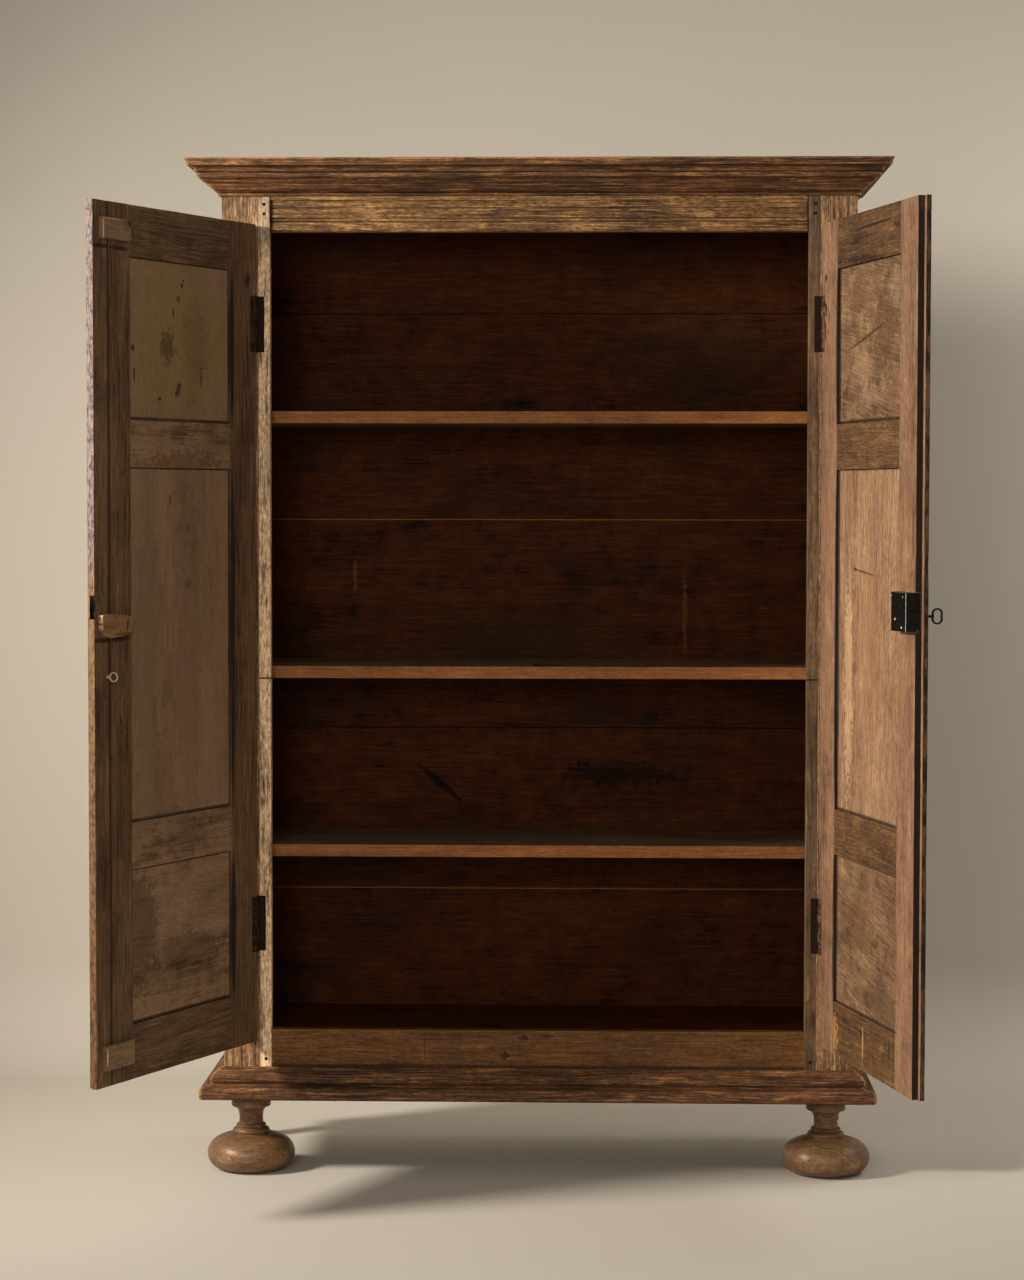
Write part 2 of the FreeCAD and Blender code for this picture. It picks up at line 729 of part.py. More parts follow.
def door_box(name, sign, along, back, high):
    return box(name, mirrored(-sign, along[0] + size.pivot_out, along[1] + size.pivot_out),
               (door_deep(back[1]), door_deep(back[0])), high)


DOOR_NODES = []


def door_node(name, sign, thing):
    """Keeps a door's piece, to be hung at its hinge axis."""
    DOOR_NODES.append((sign, thing))
    node(name, thing)


def hang_doors():
    doc.recompute()
    for sign, thing in DOOR_NODES:
        angle = size.open_right if sign > 0 else -size.open_left
        place(thing, (pivot_side() * sign, -size.pivot_front, 0), angle)


def stile_spans(sign):
    """Inner edges of the hinge stile and the free stile."""
    if sign > 0:
        return size.right_hinge_stile, door_width() - size.right_free_stile
    return size.left_hinge_stile, door_width() - size.left_edge_board - size.left_free_stile


def rail_spans():
    low = door_bottom()
    lower = low + size.lower_rail_rise
    upper = door_top() - size.upper_rail_drop
    return (("bottom", low, low + size.bottom_rail_height),
            ("lower", lower, lower + size.mid_rail_height),
            ("upper", upper, upper + size.mid_rail_height),
            ("top", door_top() - size.top_rail_height, door_top()))


def panel_spans():
    rails = rail_spans()
    return (("bottom", rails[0][2], rails[1][1]), ("middle", rails[1][2], rails[2][1]),
            ("top", rails[2][2], rails[3][1]))


def tenon(name, sign, low, high):
    inner, outer = stile_spans(sign)
    start = (size.door_thick - size.tenon_thick) / HALF
    return door_box(name, sign, (inner - size.tenon_length, outer + size.tenon_length),
                    (start, start + size.tenon_thick), (low + size.tenon_shoulder, high - size.tenon_shoulder))


def tongue(name, sign, low, high):
    inner, outer = stile_spans(sign)
    return door_box(name, sign, (inner - size.panel_tongue, outer + size.panel_tongue),
                    (size.panel_start, size.panel_start + size.panel_thick),
                    (low - size.panel_tongue, high + size.panel_tongue))


def make_rails(side, sign):
    inner, outer = stile_spans(sign)
    made = {}
    for level, low, high in rail_spans():
        name = side + "_rail_" + level
        body = door_box(name + "_body", sign, (inner, outer), (0, size.door_thick), (low, high))
        whole = fuse(name + "_whole", [body, tenon(name + "_tenon", sign, low, high)])
        made[level] = cut(name, whole, [tongue(name + "_groove_" + part, sign, bottom, top)
                                        for part, bottom, top in panel_spans()])
    door_node(side + "_door_rail_top", sign, made["top"])
    door_node(side + "_door_rail_bottom", sign, made["bottom"])
    door_node(side + "_door_mid_rails", sign, group(side + "_mid_rails", [made["upper"], made["lower"]]))


def stile_tools(name, sign):
    """Mortises and grooves."""
    tools = [tenon(name + "_mortise_" + level, sign, low, high) for level, low, high in rail_spans()]
    tools += [tongue(name + "_groove_" + level, sign, low, high) for level, low, high in panel_spans()]
    return tools


def make_hinge_stile(side, sign):
    name = side + "_door_hinge_stile"
    inner, outer = stile_spans(sign)
    blank = door_box(name + "_blank", sign, (0, inner), (0, size.door_thick), (door_bottom(), door_top()))
    tools = stile_tools(name, sign)
    for level, middle in leaf_spots():
        tools.append(door_box(name + "_recess_" + level, sign, (-size.overrun, size.door_leaf_width),
                              (-size.overrun, size.leaf_thick),
                              (middle - size.hinge_height / HALF, middle + size.hinge_height / HALF)))
    door_node(name, sign, cut(name, blank, tools))


def make_panels(side, sign):
    inner, outer = stile_spans(sign)
    for level, low, high in panel_spans():
        name = side + "_door_panel_" + level
        flat = door_box(name + "_flat", sign, (inner + size.panel_shrink, outer - size.panel_reveal),
                        (size.panel_recess, size.panel_start),
                        (low + size.panel_reveal, high - size.panel_reveal))
        edge = tongue(name + "_tongue", sign, low, high)
        parts = [flat, edge, raised_field(name + "_field", sign, low, high)]
        door_node(name, sign, fuse(name, parts))


def raised_field(name, sign, low, high):
    """Field on the outer face, bevelled on its four sides."""
    inner, outer = stile_spans(sign)
    wedge = doc.addObject("Part::Wedge", name)
    start = size.panel_start + size.panel_thick
    bevel = size.panel_reveal + size.field_bevel
    across = mirrored(-sign, inner + size.pivot_out + size.panel_reveal,
                      outer + size.pivot_out - size.panel_reveal)
    top_across = mirrored(-sign, inner + size.pivot_out + bevel, outer + size.pivot_out - bevel)
    bind(wedge, "Xmin", top_across[0])
    bind(wedge, "Xmax", top_across[1])
    bind(wedge, "X2min", across[0])
    bind(wedge, "X2max", across[1])
    bind(wedge, "Zmin", low + bevel)
    bind(wedge, "Zmax", high - bevel)
    bind(wedge, "Z2min", low + size.panel_reveal)
    bind(wedge, "Z2max", high - size.panel_reveal)
    bind(wedge, "Ymin", door_deep(start + size.field_rise))
    bind(wedge, "Ymax", door_deep(start))
    return wedge


def make_left_free_side():
    sign = -1
    inner, outer = stile_spans(sign)
    joint = door_width() - size.left_edge_board
    name = "left_door_free_stile"
    blank = door_box(name + "_blank", sign, (outer, joint), (0, size.door_thick), (door_bottom(), door_top()))
    door_node(name, sign, cut(name, blank, stile_tools(name, sign)))
    name = "left_door_edge_board"
    blank = door_box(name + "_blank", sign, (joint, door_width()), (0, size.door_thick),
                     (door_bottom(), door_top()))
    lip = size.lap_width + size.lap_play - size.meeting_gap
    rebate = door_box(name + "_rebate", sign, (door_width() - lip, door_width() + size.overrun),
                      (size.lap_depth - size.lap_face_play, size.door_thick + size.overrun),
                      (door_bottom() - size.overrun, door_top() + size.overrun))
    notch = size.case_place + size.notch_rise
    pocket = door_box(name + "_notch", sign, (door_width() - size.notch_width, door_width() + size.overrun),
                     (-size.overrun, size.notch_depth), (notch, notch + size.notch_height))
    door_node(name, sign, cut(name, blank, [rebate, pocket]))


def make_blocks():
    sign = -1
    free = door_width() - size.block_edge
    top_place = door_top() - size.block_top_drop
    spans = (("top", top_place, size.block_height),
             ("bottom", door_bottom() + size.block_low_rise, size.block_low_height))
    made = []
    for level, low, tall in spans:
        made.append(door_box("block_" + level, sign, (free - size.block_length, free), (-size.block_proud, 0),
                             (low, low + tall)))
    split = free - size.block_length * size.block_split_share
    groove = door_box("block_groove", sign, (split, split + size.block_split),
                      (-size.block_proud - size.overrun, -size.block_proud * MIDDLE_SHARE),
                      (top_place - size.overrun, top_place + size.block_height + size.overrun))
    top = cut("block_top_split", made[0], [groove])
    door_node("left_door_end_blocks", sign, group("left_end_blocks", [top, made[1]]))
    points = [(size.keeper_length * along, size.keeper_height * up) for along, up in KEEPER_SHARES]
    keeper = moulding("keeper", points, size.block_proud,
                      (door_side(sign, door_width() - size.keeper_edge), door_deep(-size.block_proud / HALF),
                       size.case_place - size.keeper_drop), SQUARE_TURN * HALF)
    door_node("left_door_keeper_block", sign, group("left_keeper", [keeper]))


def eye_place():
    return size.shelf_middle_top + size.eye_rise


def make_screw_eye():
    sign = -1
    along = door_side(sign, door_width() - size.eye_edge)
    inward = (along, door_deep(0), eye_place())
    collar = rod("eye_collar_disc", size.eye_collar, size.eye_collar_height, inward, ACROSS, -SQUARE_TURN)
    shank = rod("eye_shank", size.eye_wire, size.eye_reach - size.eye_radius, inward, ACROSS, -SQUARE_TURN)
    loop = ring("eye_loop", size.eye_radius, size.eye_wire, (along, door_deep(-size.eye_reach), eye_place()),
                DEEP, SQUARE_TURN)
    door_node("left_door_screw_eye", sign, fuse("left_door_screw_eye", [collar, shank, loop]))


def knuckle_spans(middle, first):
    """Every second knuckle of a hinge, from the first."""
    low = middle - size.hinge_height / HALF
    tall = size.hinge_height / KNUCKLES
    spans = []
    for index in range(first, KNUCKLES, HALF):
        spans.append((index, low + tall * index + size.knuckle_gap / HALF, tall - size.knuckle_gap))
    return spans


def make_frame_hinges():
    leaves = []
    pins = []
    for side, sign in SIDES:
        for level, middle in leaf_spots():
            name = "hinge_" + side + "_" + level
            low = middle - size.hinge_height / HALF
            axis = (pivot_side() * sign, -size.pivot_front)
            half = size.web_width / HALF
            parts = [box(name + "_plate",
                         mirrored(sign, pivot_side() - size.leaf_width, pivot_side() + size.web_width),
                         (0, size.leaf_thick), (low, low + size.hinge_height))]
            for index, start, tall in knuckle_spans(middle, 0):
                parts.append(rod(name + "_knuckle_" + str(index), size.knuckle_radius, tall,
                                 (axis[0], axis[1], start)))
                parts.append(box(name + "_web_" + str(index),
                                 mirrored(sign, pivot_side() - half, pivot_side() + half),
                                 (-size.pivot_front, size.leaf_thick), (start, start + tall)))
            bore = rod(name + "_bore", size.pin_radius + size.pin_play, size.hinge_height + size.overrun * HALF,
                       (axis[0], axis[1], low - size.overrun))
            leaves.append(cut(name + "_leaf", fuse(name + "_parts", parts), [bore]))
            pin = rod(name + "_pin", size.pin_radius, size.hinge_height, (axis[0], axis[1], low))
            upper = cone(name + "_cap_upper", size.pin_cap_radius, size.pin_radius, size.pin_cap_height,
                         (axis[0], axis[1], low + size.hinge_height))
            lower = cone(name + "_cap_lower", size.pin_radius, size.pin_cap_radius, size.pin_cap_height,
                         (axis[0], axis[1], low - size.pin_cap_height))
            pins.append(fuse(name + "_pin_whole", [pin, upper, lower]))
    node("hinge_frame_leaves", group("frame_leaves", leaves))
    node("hinge_pins", group("all_pins", pins))


def make_door_hinges(side, sign):
    leaves = []
    for level, middle in leaf_spots():
        name = side + "_leaf_" + level
        low = middle - size.hinge_height / HALF
        parts = [door_box(name + "_plate", sign, (0, size.door_leaf_width), (0, size.leaf_thick),
                          (low, low + size.hinge_height))]
        for index, start, tall in knuckle_spans(middle, 1):
            parts.append(rod(name + "_knuckle_" + str(index), size.knuckle_radius, tall, (0, 0, start)))
            parts.append(door_box(name + "_web_" + str(index), sign, (-size.pivot_out, size.web_width),
                                  (0, size.leaf_thick), (start, start + tall)))
        bore = rod(name + "_bore", size.pin_radius + size.pin_play, size.hinge_height + size.overrun * HALF,
                   (0, 0, low - size.overrun))
        leaves.append(cut(name + "_leaf", fuse(name + "_parts", parts), [bore]))
    door_node(side + "_door_hinge_leaves", sign, group(side + "_door_leaves", leaves))


def make_right_free_side():
    """Free stile with its lip, and the pockets that take the lock and key."""
    sign = 1
    inner, outer = stile_spans(sign)
    name = "right_door_free_stile"
    shoulder = door_width()
    blank = door_box(name + "_blank", sign, (outer, shoulder + size.lap_width), (0, size.door_thick),
                     (door_bottom(), door_top()))
    tools = stile_tools(name, sign)
    tools.append(door_box(name + "_rebate", sign, (shoulder, shoulder + size.lap_width + size.overrun),
                          (-size.overrun, size.lap_depth),
                          (door_bottom() - size.overrun, door_top() + size.overrun)))
    tools.append(door_box(name + "_lip_seat", sign, (shoulder - size.case_wall, shoulder + size.overrun),
                          (-size.overrun, size.forend_depth),
                          (size.case_place, size.case_place + size.case_height)))
    tools.append(door_box(name + "_channel", sign,
                          (shoulder - size.bolt_back - size.bolt_length - size.bolt_play,
                           shoulder + size.overrun),
                          (-size.overrun, size.bolt_half_depth + size.bolt_play), bolt_slot_heights()))
    tools += key_cuts(name, sign)
    door_node(name, sign, cut(name, blank, tools))


def bolt_place():
    return size.case_place + size.bolt_rise


def key_place():
    return size.case_place + size.key_rise


def bolt_slot_heights():
    return (bolt_place() - size.bolt_play, bolt_place() + size.bolt_height + size.bolt_play)


def key_along():
    return door_width() - size.key_edge


def key_cuts(name, sign):
    """Round pocket for the turning bit, and the keyhole through the stile."""
    along = door_side(sign, key_along())
    deep = size.bit_start + size.bit_width + size.bit_play
    pocket = rod(name + "_pocket", size.bit_reach + size.bit_play, deep + size.overrun,
                 (along, door_deep(-size.overrun), key_place()), ACROSS, SQUARE_TURN)
    hole = rod(name + "_keyhole", size.key_shank_radius + size.key_play, size.door_thick + size.overrun * HALF,
               (along, door_deep(-size.overrun), key_place()), ACROSS, SQUARE_TURN)
    half = size.bit_thick / HALF + size.key_play
    slot = door_box(name + "_key_slot", sign, (key_along() - half, key_along() + half),
                    (0, size.door_thick + size.overrun),
                    (key_place() - size.bit_reach - size.key_play, key_place()))
    return [pocket, hole, slot]


def make_lock():
    sign = 1
    shoulder = door_width()
    high = (size.case_place, size.case_place + size.case_height)
    shell = door_box("case_shell", sign, (shoulder - size.case_width, shoulder), (-size.case_proud, 0), high)
    lip = door_box("case_lip", sign, (shoulder - size.case_wall, shoulder), (0, size.forend_depth), high)
    hollow = door_box("case_hollow", sign,
                      (shoulder - size.case_width + size.case_wall, shoulder - size.case_wall),
                      (size.case_wall - size.case_proud, size.overrun),
                      (high[0] + size.case_wall, high[1] - size.case_wall))
    slot = door_box("case_slot", sign, (shoulder - size.case_wall - size.overrun, shoulder + size.overrun),
                    (-size.bolt_half_depth - size.bolt_play, size.bolt_half_depth + size.bolt_play),
                    bolt_slot_heights())
    cover = cut("case_cover", fuse("case_whole", [shell, lip]), [hollow, slot])
    parts = [cover]
    for index, (out, up) in enumerate(RIVET_SHARES):
        parts.append(cone("case_rivet_" + str(index), size.rivet_radius, size.rivet_radius * RIVET_TOP_SHARE,
                          size.rivet_height, (door_side(sign, shoulder - size.case_width * out),
                                              door_deep(-size.case_proud), high[0] + size.case_height * up),
                          ACROSS, -SQUARE_TURN))
    door_node("right_door_lock_case", sign, fuse("right_door_lock_case", parts))
    end = shoulder - size.bolt_back
    bolt = door_box("bolt_bar", sign, (end - size.bolt_length, end),
                    (-size.bolt_half_depth, size.bolt_half_depth),
                    (bolt_place(), bolt_place() + size.bolt_height))
    door_node("lock_bolt", sign, group("bolt", [bolt]))


def make_key():
    """Shank with its collar, a bit with one ward cut, and a bow of two joined lobes."""
    sign = 1
    along = door_side(sign, key_along())
    outer = size.door_thick + size.key_outside
    shank = rod("key_shank", size.key_shank_radius, size.key_inside + outer + size.bow_band,
                (along, door_deep(-size.key_inside), key_place()), ACROSS, SQUARE_TURN)
    stop = rod("key_stop", size.key_stop_radius, size.key_stop_height,
               (along, door_deep(size.door_thick + size.key_play), key_place()), ACROSS, SQUARE_TURN)
    half = size.bit_thick / HALF
    bit = door_box("key_bit", sign, (key_along() - half, key_along() + half),
                   (size.bit_start, size.bit_start + size.bit_width),
                   (key_place() - size.bit_reach, key_place()))
    lobes = []
    holes = []
    for name, way in (("upper", 1), ("lower", -1)):
        spot = (along - size.bow_thick / HALF, door_deep(outer + size.bow_radius),
                key_place() + size.bow_offset * way)
        lobes.append(rod("key_lobe_" + name, size.bow_radius, size.bow_thick, spot, DEEP, SQUARE_TURN))
        through = (along - size.bow_thick / HALF - size.overrun, spot[1], spot[2])
        holes.append(rod("key_eye_" + name, size.bow_radius - size.bow_band,
                         size.bow_thick + size.overrun * HALF, through, DEEP, SQUARE_TURN))
    ward_low = size.bit_start + (size.bit_width - size.ward_width) / HALF
    ward = door_box("key_ward", sign, (key_along() - size.overrun, key_along() + size.overrun),
                    (ward_low, ward_low + size.ward_width),
                    (key_place() - size.bit_reach - size.overrun, key_place() - size.bit_reach * MIDDLE_SHARE))
    door_node("key", sign, cut("key", fuse("key_whole", [shank, stop, bit] + lobes), holes + [ward]))


def make_hook():
    """Hook that lies on the middle shelf and turns on its headed pin."""
    across = size.hook_place_x
    deep = shelf_front() + size.hook_place_back
    top = size.shelf_middle_top
    shaft = rod("hook_pin_shaft", size.hook_pin_radius, size.hook_pin_height, (across, deep, top))
    head = rod("hook_pin_head", size.hook_head_radius, size.hook_head_height,
               (across, deep, top + size.hook_pin_height))
    node("hook_pin", fuse("hook_pin", [shaft, head]))
    middle = top + size.hook_lift + size.hook_wire
    bore = size.hook_pin_radius + size.hook_play
    reach = bore + size.hook_wire
    low = middle - size.hook_eye_height / HALF
    disc = rod("hook_eye_disc", reach + size.hook_wire, size.hook_eye_height, (across, deep, low))
    hole = rod("hook_eye_hole", bore, size.hook_eye_height + size.overrun * HALF,
               (across, deep, low - size.overrun))
    loop = cut("hook_eye", disc, [hole])
    bar = rod("hook_bar", size.hook_wire, size.hook_length - reach, (across + reach, deep, middle), DEEP,
              SQUARE_TURN)
    elbow = doc.addObject("Part::Sphere", "hook_elbow")
    bind(elbow, "Radius", size.hook_wire * ELBOW_SHARE)
    place(elbow, (across + size.hook_length, deep, middle))
    tip = cone("hook_tip_point", size.hook_wire * TIP_SHARE, size.hook_wire * MIDDLE_SHARE, size.hook_tip,
               (across + size.hook_length, deep, middle))
    node("shelf_hook", fuse("shelf_hook", [loop, bar, elbow, tip]))


def make_strip_nails():
    nails = []
    heights = (("top", frieze_top() - size.nail_end),
               ("next", frieze_top() - size.nail_end * HALF - size.nail_radius),
               ("low", base_top() + size.nail_end))
    for side, sign in SIDES:
        across = (opening_half() + size.strip_width / HALF) * sign
        for level, high in heights:
            nails.append(cone("nail_" + side + "_" + level, size.nail_radius, size.nail_radius - size.nail_taper,
                              size.nail_proud, (across, 0, high), ACROSS, SQUARE_TURN))
    node("strip_nails", group("all_nails", nails))


def check_all():
    for thing in doc.Objects:
        for state in thing.State:
            if state in ("Invalid", "Error"):
                raise RuntimeError(thing.Name + " is " + state)
    for name, thing in NODES:
        shape = thing.Shape
        if shape.isNull() or not shape.isValid():
            raise RuntimeError(name + " has no sound shape")
        if not shape.Solids:
            raise RuntimeError(name + " has no solid")


def write_all():
    os.makedirs("parts", exist_ok=True)
    for name, thing in NODES:
        thing.Shape.exportStep("parts/" + name + ".step")


def main():
    fill_sheet()
    make_posts()
    make_strips()
    make_sides()
    make_front_boards()
    make_band("cornice", CORNICE_SHARES, size.cornice_reach, size.cornice_height, frieze_top())
    make_band("base", BASE_SHARES, size.base_reach, size.base_height, size.foot_height)
    make_top_and_floor()
    make_back()
    make_shelves()
    make_feet()
    make_frame_hinges()
    make_strip_nails()
    make_hook()
    for side, sign in SIDES:
        make_hinge_stile(side, sign)
        make_rails(side, sign)
        make_panels(side, sign)
        make_door_hinges(side, sign)
    make_left_free_side()
    make_blocks()
    make_screw_eye()
    make_right_free_side()
    make_lock()
    make_key()
    hang_doors()
    doc.recompute()
    check_all()
    write_all()
    print(len(NODES), "nodes")


main()
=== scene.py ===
"""A tall two-door cupboard on turned feet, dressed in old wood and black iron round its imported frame."""

import json
import math

import bmesh
import bpy
from mathutils import Euler, Matrix, Vector, noise


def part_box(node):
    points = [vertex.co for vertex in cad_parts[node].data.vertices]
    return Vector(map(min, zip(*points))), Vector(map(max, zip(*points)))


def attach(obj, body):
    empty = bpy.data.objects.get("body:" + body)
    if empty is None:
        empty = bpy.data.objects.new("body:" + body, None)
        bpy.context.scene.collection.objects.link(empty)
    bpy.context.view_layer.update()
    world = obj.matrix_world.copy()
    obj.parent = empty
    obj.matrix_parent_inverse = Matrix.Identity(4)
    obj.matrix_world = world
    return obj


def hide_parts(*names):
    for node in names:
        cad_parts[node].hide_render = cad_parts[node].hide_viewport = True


bl_info = {
    "name": "Old two-door cupboard",
    "version": (1, 0, 0),
    "blender": (4, 5, 0),
    "location": "3D Viewport > Sidebar > Cupboard",
    "description": "Dresses the cupboard's frame in worn wood and forged iron",
    "category": "Object",
}

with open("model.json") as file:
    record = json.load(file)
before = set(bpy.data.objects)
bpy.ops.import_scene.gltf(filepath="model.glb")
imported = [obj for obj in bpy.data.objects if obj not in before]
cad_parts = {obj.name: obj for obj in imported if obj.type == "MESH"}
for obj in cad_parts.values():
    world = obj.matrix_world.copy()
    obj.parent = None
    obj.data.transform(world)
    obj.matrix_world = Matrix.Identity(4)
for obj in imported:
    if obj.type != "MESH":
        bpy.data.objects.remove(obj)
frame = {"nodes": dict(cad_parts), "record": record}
NODES = frame["nodes"]
JOINTS = {joint["name"]: joint for joint in frame["record"]["behaviour"]["joints"]}
BODY_OF = {node: body for body, nodes in frame["record"]["behaviour"]["bodies"].items() for node in nodes}
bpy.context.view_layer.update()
MM = 0.001
# middle of the posts' front faces, on the floor, from which the room, the camera and the marks are placed
FRONT = Vector(((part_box("side_left")[0].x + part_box("side_right")[1].x) / 2,
                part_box("post_front_left")[0].y, 0.0))
# edges that turn more than this are eased and worn
SHARP = math.radians(35)
# rounding of the panels' edges
PANEL_EDGE = 0.7 * MM
# half of how deep a mark reaches into its piece
MARK_DEPTH = 60 * MM
# from the posts' front faces to the back boards, in millimetres
BACK_FACE = 364
# from a hinge's axis to its door's hinge edge and to its inner face, in millimetres
HINGE_TO_EDGE = 5.6
HINGE_TO_FACE = 4.9
# colour of the room's light
WARM = (1.0, 0.95, 0.88)


def shade(red, green, blue):
    """A colour as seen on a screen, 0 to 255, made linear."""
    return tuple((part / 255.0 / 12.92) if part < 10.3 else ((part / 255.0 + 0.055) / 1.055) ** 2.4
                 for part in (red, green, blue))


def colour_property(name, description, default):
    return bpy.props.FloatVectorProperty(name=name, description=description, subtype="COLOR", size=3,
                                         min=0.0, max=1.0, default=default)


class CupboardWoods(bpy.types.PropertyGroup):
    """Colours of the woods, each as a dark, a middle and a light tone."""
    frame_dark: colour_property("Frame, dark", "Streaks in the posts", shade(70, 44, 34))
    frame_middle: colour_property("Frame, middle", "Posts", shade(146, 108, 70))
    frame_light: colour_property("Frame, light", "Worn ridges of the posts", shade(206, 164, 114))
    # the left hinge strip's tones are much lighter than the posts' wood: painted light, standing for light
    # that reaches the strip past the open left door
    strip_dark: colour_property("Strip, dark", "Streaks in the left hinge strip", shade(82, 52, 42))
    strip_middle: colour_property("Strip, middle", "Left hinge strip", shade(244, 202, 156))
    strip_light: colour_property("Strip, light", "Scraped spots of the left hinge strip",
                                  shade(250, 216, 172))
    rail_dark: colour_property("Rail, dark", "Streaks in the bottom rail", shade(44, 25, 11))
    rail_middle: colour_property("Rail, middle", "Bottom rail", shade(102, 65, 28))
    rail_light: colour_property("Rail, light", "Worn spots of the bottom rail", shade(160, 108, 50))
    moulding_dark: colour_property("Mouldings, dark", "Hollows of cornice and base", shade(38, 22, 13))
    moulding_middle: colour_property("Mouldings, middle", "Cornice and base", shade(96, 60, 32))
    moulding_light: colour_property("Mouldings, light", "Rubbed ridges of cornice and base",
                                     shade(172, 122, 70))
    frieze_dark: colour_property("Frieze, dark", "Streaks in the frieze", shade(62, 38, 22))
    frieze_middle: colour_property("Frieze, middle", "Frieze", shade(114, 80, 42))
    frieze_light: colour_property("Frieze, light", "Rubbed streaks in the frieze", shade(182, 138, 82))
    stile_dark: colour_property("Left stiles, dark", "Streaks in the stiles and rails", shade(46, 30, 20))
    stile_middle: colour_property("Left stiles, middle", "Left door's stiles and rails", shade(106, 80, 54))
    stile_light: colour_property("Left stiles, light", "Worn spots of those", shade(148, 118, 82))
    grey_dark: colour_property("Left panels, dark", "Streaks in the left door's panels", shade(84, 60, 40))
    grey_middle: colour_property("Left panels, middle", "Left door's panels", shade(147, 116, 86))
    grey_light: colour_property("Left panels, light", "Worn spots of those", shade(168, 140, 106))
    pink_dark: colour_property("Right stiles, dark", "Streaks in the right door's stiles", shade(78, 50, 36))
    pink_middle: colour_property("Right stiles, middle", "Right door's stiles", shade(134, 98, 72))
    pink_light: colour_property("Right stiles, light", "Worn spots of those", shade(174, 136, 102))
    keeper_dark: colour_property("Keeper, dark", "Streaks in the middle block", shade(84, 56, 24))
    keeper_middle: colour_property("Keeper, middle", "Middle block of the left door", shade(146, 110, 68))
    keeper_light: colour_property("Keeper, light", "Rubbed spots of that block", shade(186, 148, 98))
    brace_dark: colour_property("Right rails, dark", "Streaks in the right door's rails", shade(46, 30, 19))
    brace_middle: colour_property("Right rails, middle", "Right door's rails", shade(92, 63, 36))
    brace_light: colour_property("Right rails, light", "Worn spots of those", shade(146, 110, 70))
    tan_dark: colour_property("Right panels, dark", "Streaks in the right door's panels", shade(86, 56, 36))
    tan_middle: colour_property("Right panels, middle", "Right door's panels", shade(141, 107, 78))
    tan_light: colour_property("Right panels, light", "Worn spots of those", shade(190, 152, 112))
    figure_dark: colour_property("Right small panels, dark", "Streaks in them", shade(66, 43, 27))
    figure_middle: colour_property("Right small panels, middle", "Right door's top and bottom panels",
                                   shade(118, 88, 61))
    figure_light: colour_property("Right small panels, light", "Worn spots of those", shade(166, 132, 95))
    inside_dark: colour_property("Inside, dark", "Stains on the back boards", shade(16, 7, 2))
    inside_middle: colour_property("Inside, middle", "Back boards", shade(74, 33, 6))
    inside_light: colour_property("Inside, light", "Rubbed spots on the back boards", shade(92, 58, 16))
    shelf_dark: colour_property("Shelves, dark", "Streaks in the shelf edges", shade(92, 52, 26))
    shelf_middle: colour_property("Shelves, middle", "Shelf edges", shade(152, 94, 48))
    shelf_light: colour_property("Shelves, light", "Bright spots of the shelf edges", shade(198, 132, 76))
    foot_dark: colour_property("Feet, dark", "Streaks in the front feet", shade(74, 46, 28))
    foot_middle: colour_property("Feet, middle", "Waxed front feet", shade(118, 84, 51))
    foot_light: colour_property("Feet, light", "Rubbed spots of the front feet", shade(188, 144, 90))


class CupboardIron(bpy.types.PropertyGroup):
    """Colours of the iron fittings."""
    black: colour_property("Iron", "Forged iron", shade(38, 35, 33))
    bright: colour_property("Bright iron", "Rubbed rivets and edges", shade(196, 188, 174))
    rust: colour_property("Rust", "Specks of rust", shade(84, 50, 30))
    brass: colour_property("Brass", "One brassy rivet", shade(176, 140, 78))


class CupboardMaking(bpy.types.PropertyGroup):
    """Sizes used in easing the boards, turning the feet and doming the rivets."""
    edge: bpy.props.FloatProperty(name="Edge", description="Width of the rounding on a board's edges",
                                  default=1.3 * MM, min=0.0, subtype="DISTANCE", unit="LENGTH")
    step: bpy.props.FloatProperty(name="Step", description="Spacing of the wear along a board",
                                  default=34 * MM, min=0.005, subtype="DISTANCE", unit="LENGTH")
    erosion: bpy.props.FloatProperty(name="Erosion", description="Deepest usual wear of an edge",
                                     default=1.1 * MM, min=0.0, subtype="DISTANCE", unit="LENGTH")
    turning_steps: bpy.props.IntProperty(name="Turning steps", description="Sides of a turned foot",
                                         default=72, min=12)
    dome: bpy.props.FloatProperty(name="Rivet radius", description="Radius of the domed rivets on the lock",
                                  default=2.6 * MM, min=0.0, subtype="DISTANCE", unit="LENGTH")


class CupboardStage(bpy.types.PropertyGroup):
    """Floor, lamps and camera."""
    floor: colour_property("Floor", "Floor and backdrop", shade(208, 201, 188))
    wall_place: bpy.props.FloatProperty(name="Wall", description="Backdrop behind the posts' faces",
                                        default=1.26, subtype="DISTANCE", unit="LENGTH")
    key_power: bpy.props.FloatProperty(name="Key lamp", description="Soft lamp at the left, from above",
                                       default=46.0, min=0.0, subtype="POWER", unit="POWER")
    fill_power: bpy.props.FloatProperty(name="Fill lamp", description="Wide lamp left of the camera",
                                        default=56.0, min=0.0, subtype="POWER", unit="POWER")
    side_power: bpy.props.FloatProperty(name="Side lamp",
                                        description="Lamp that lights the backdrop at the right",
                                        default=9.5, min=0.0, subtype="POWER", unit="POWER")
    sky: bpy.props.FloatProperty(name="Room light", description="Even light of the room", default=0.30,
                                 min=0.0)
    lens: bpy.props.FloatProperty(name="Lens", description="Focal length on a 36 mm long side", default=82.6,
                                  min=1.0, subtype="DISTANCE_CAMERA", unit="CAMERA")


GROUPS = {"cupboard_woods": CupboardWoods, "cupboard_iron": CupboardIron, "cupboard_making": CupboardMaking,
          "cupboard_stage": CupboardStage}


# meshes

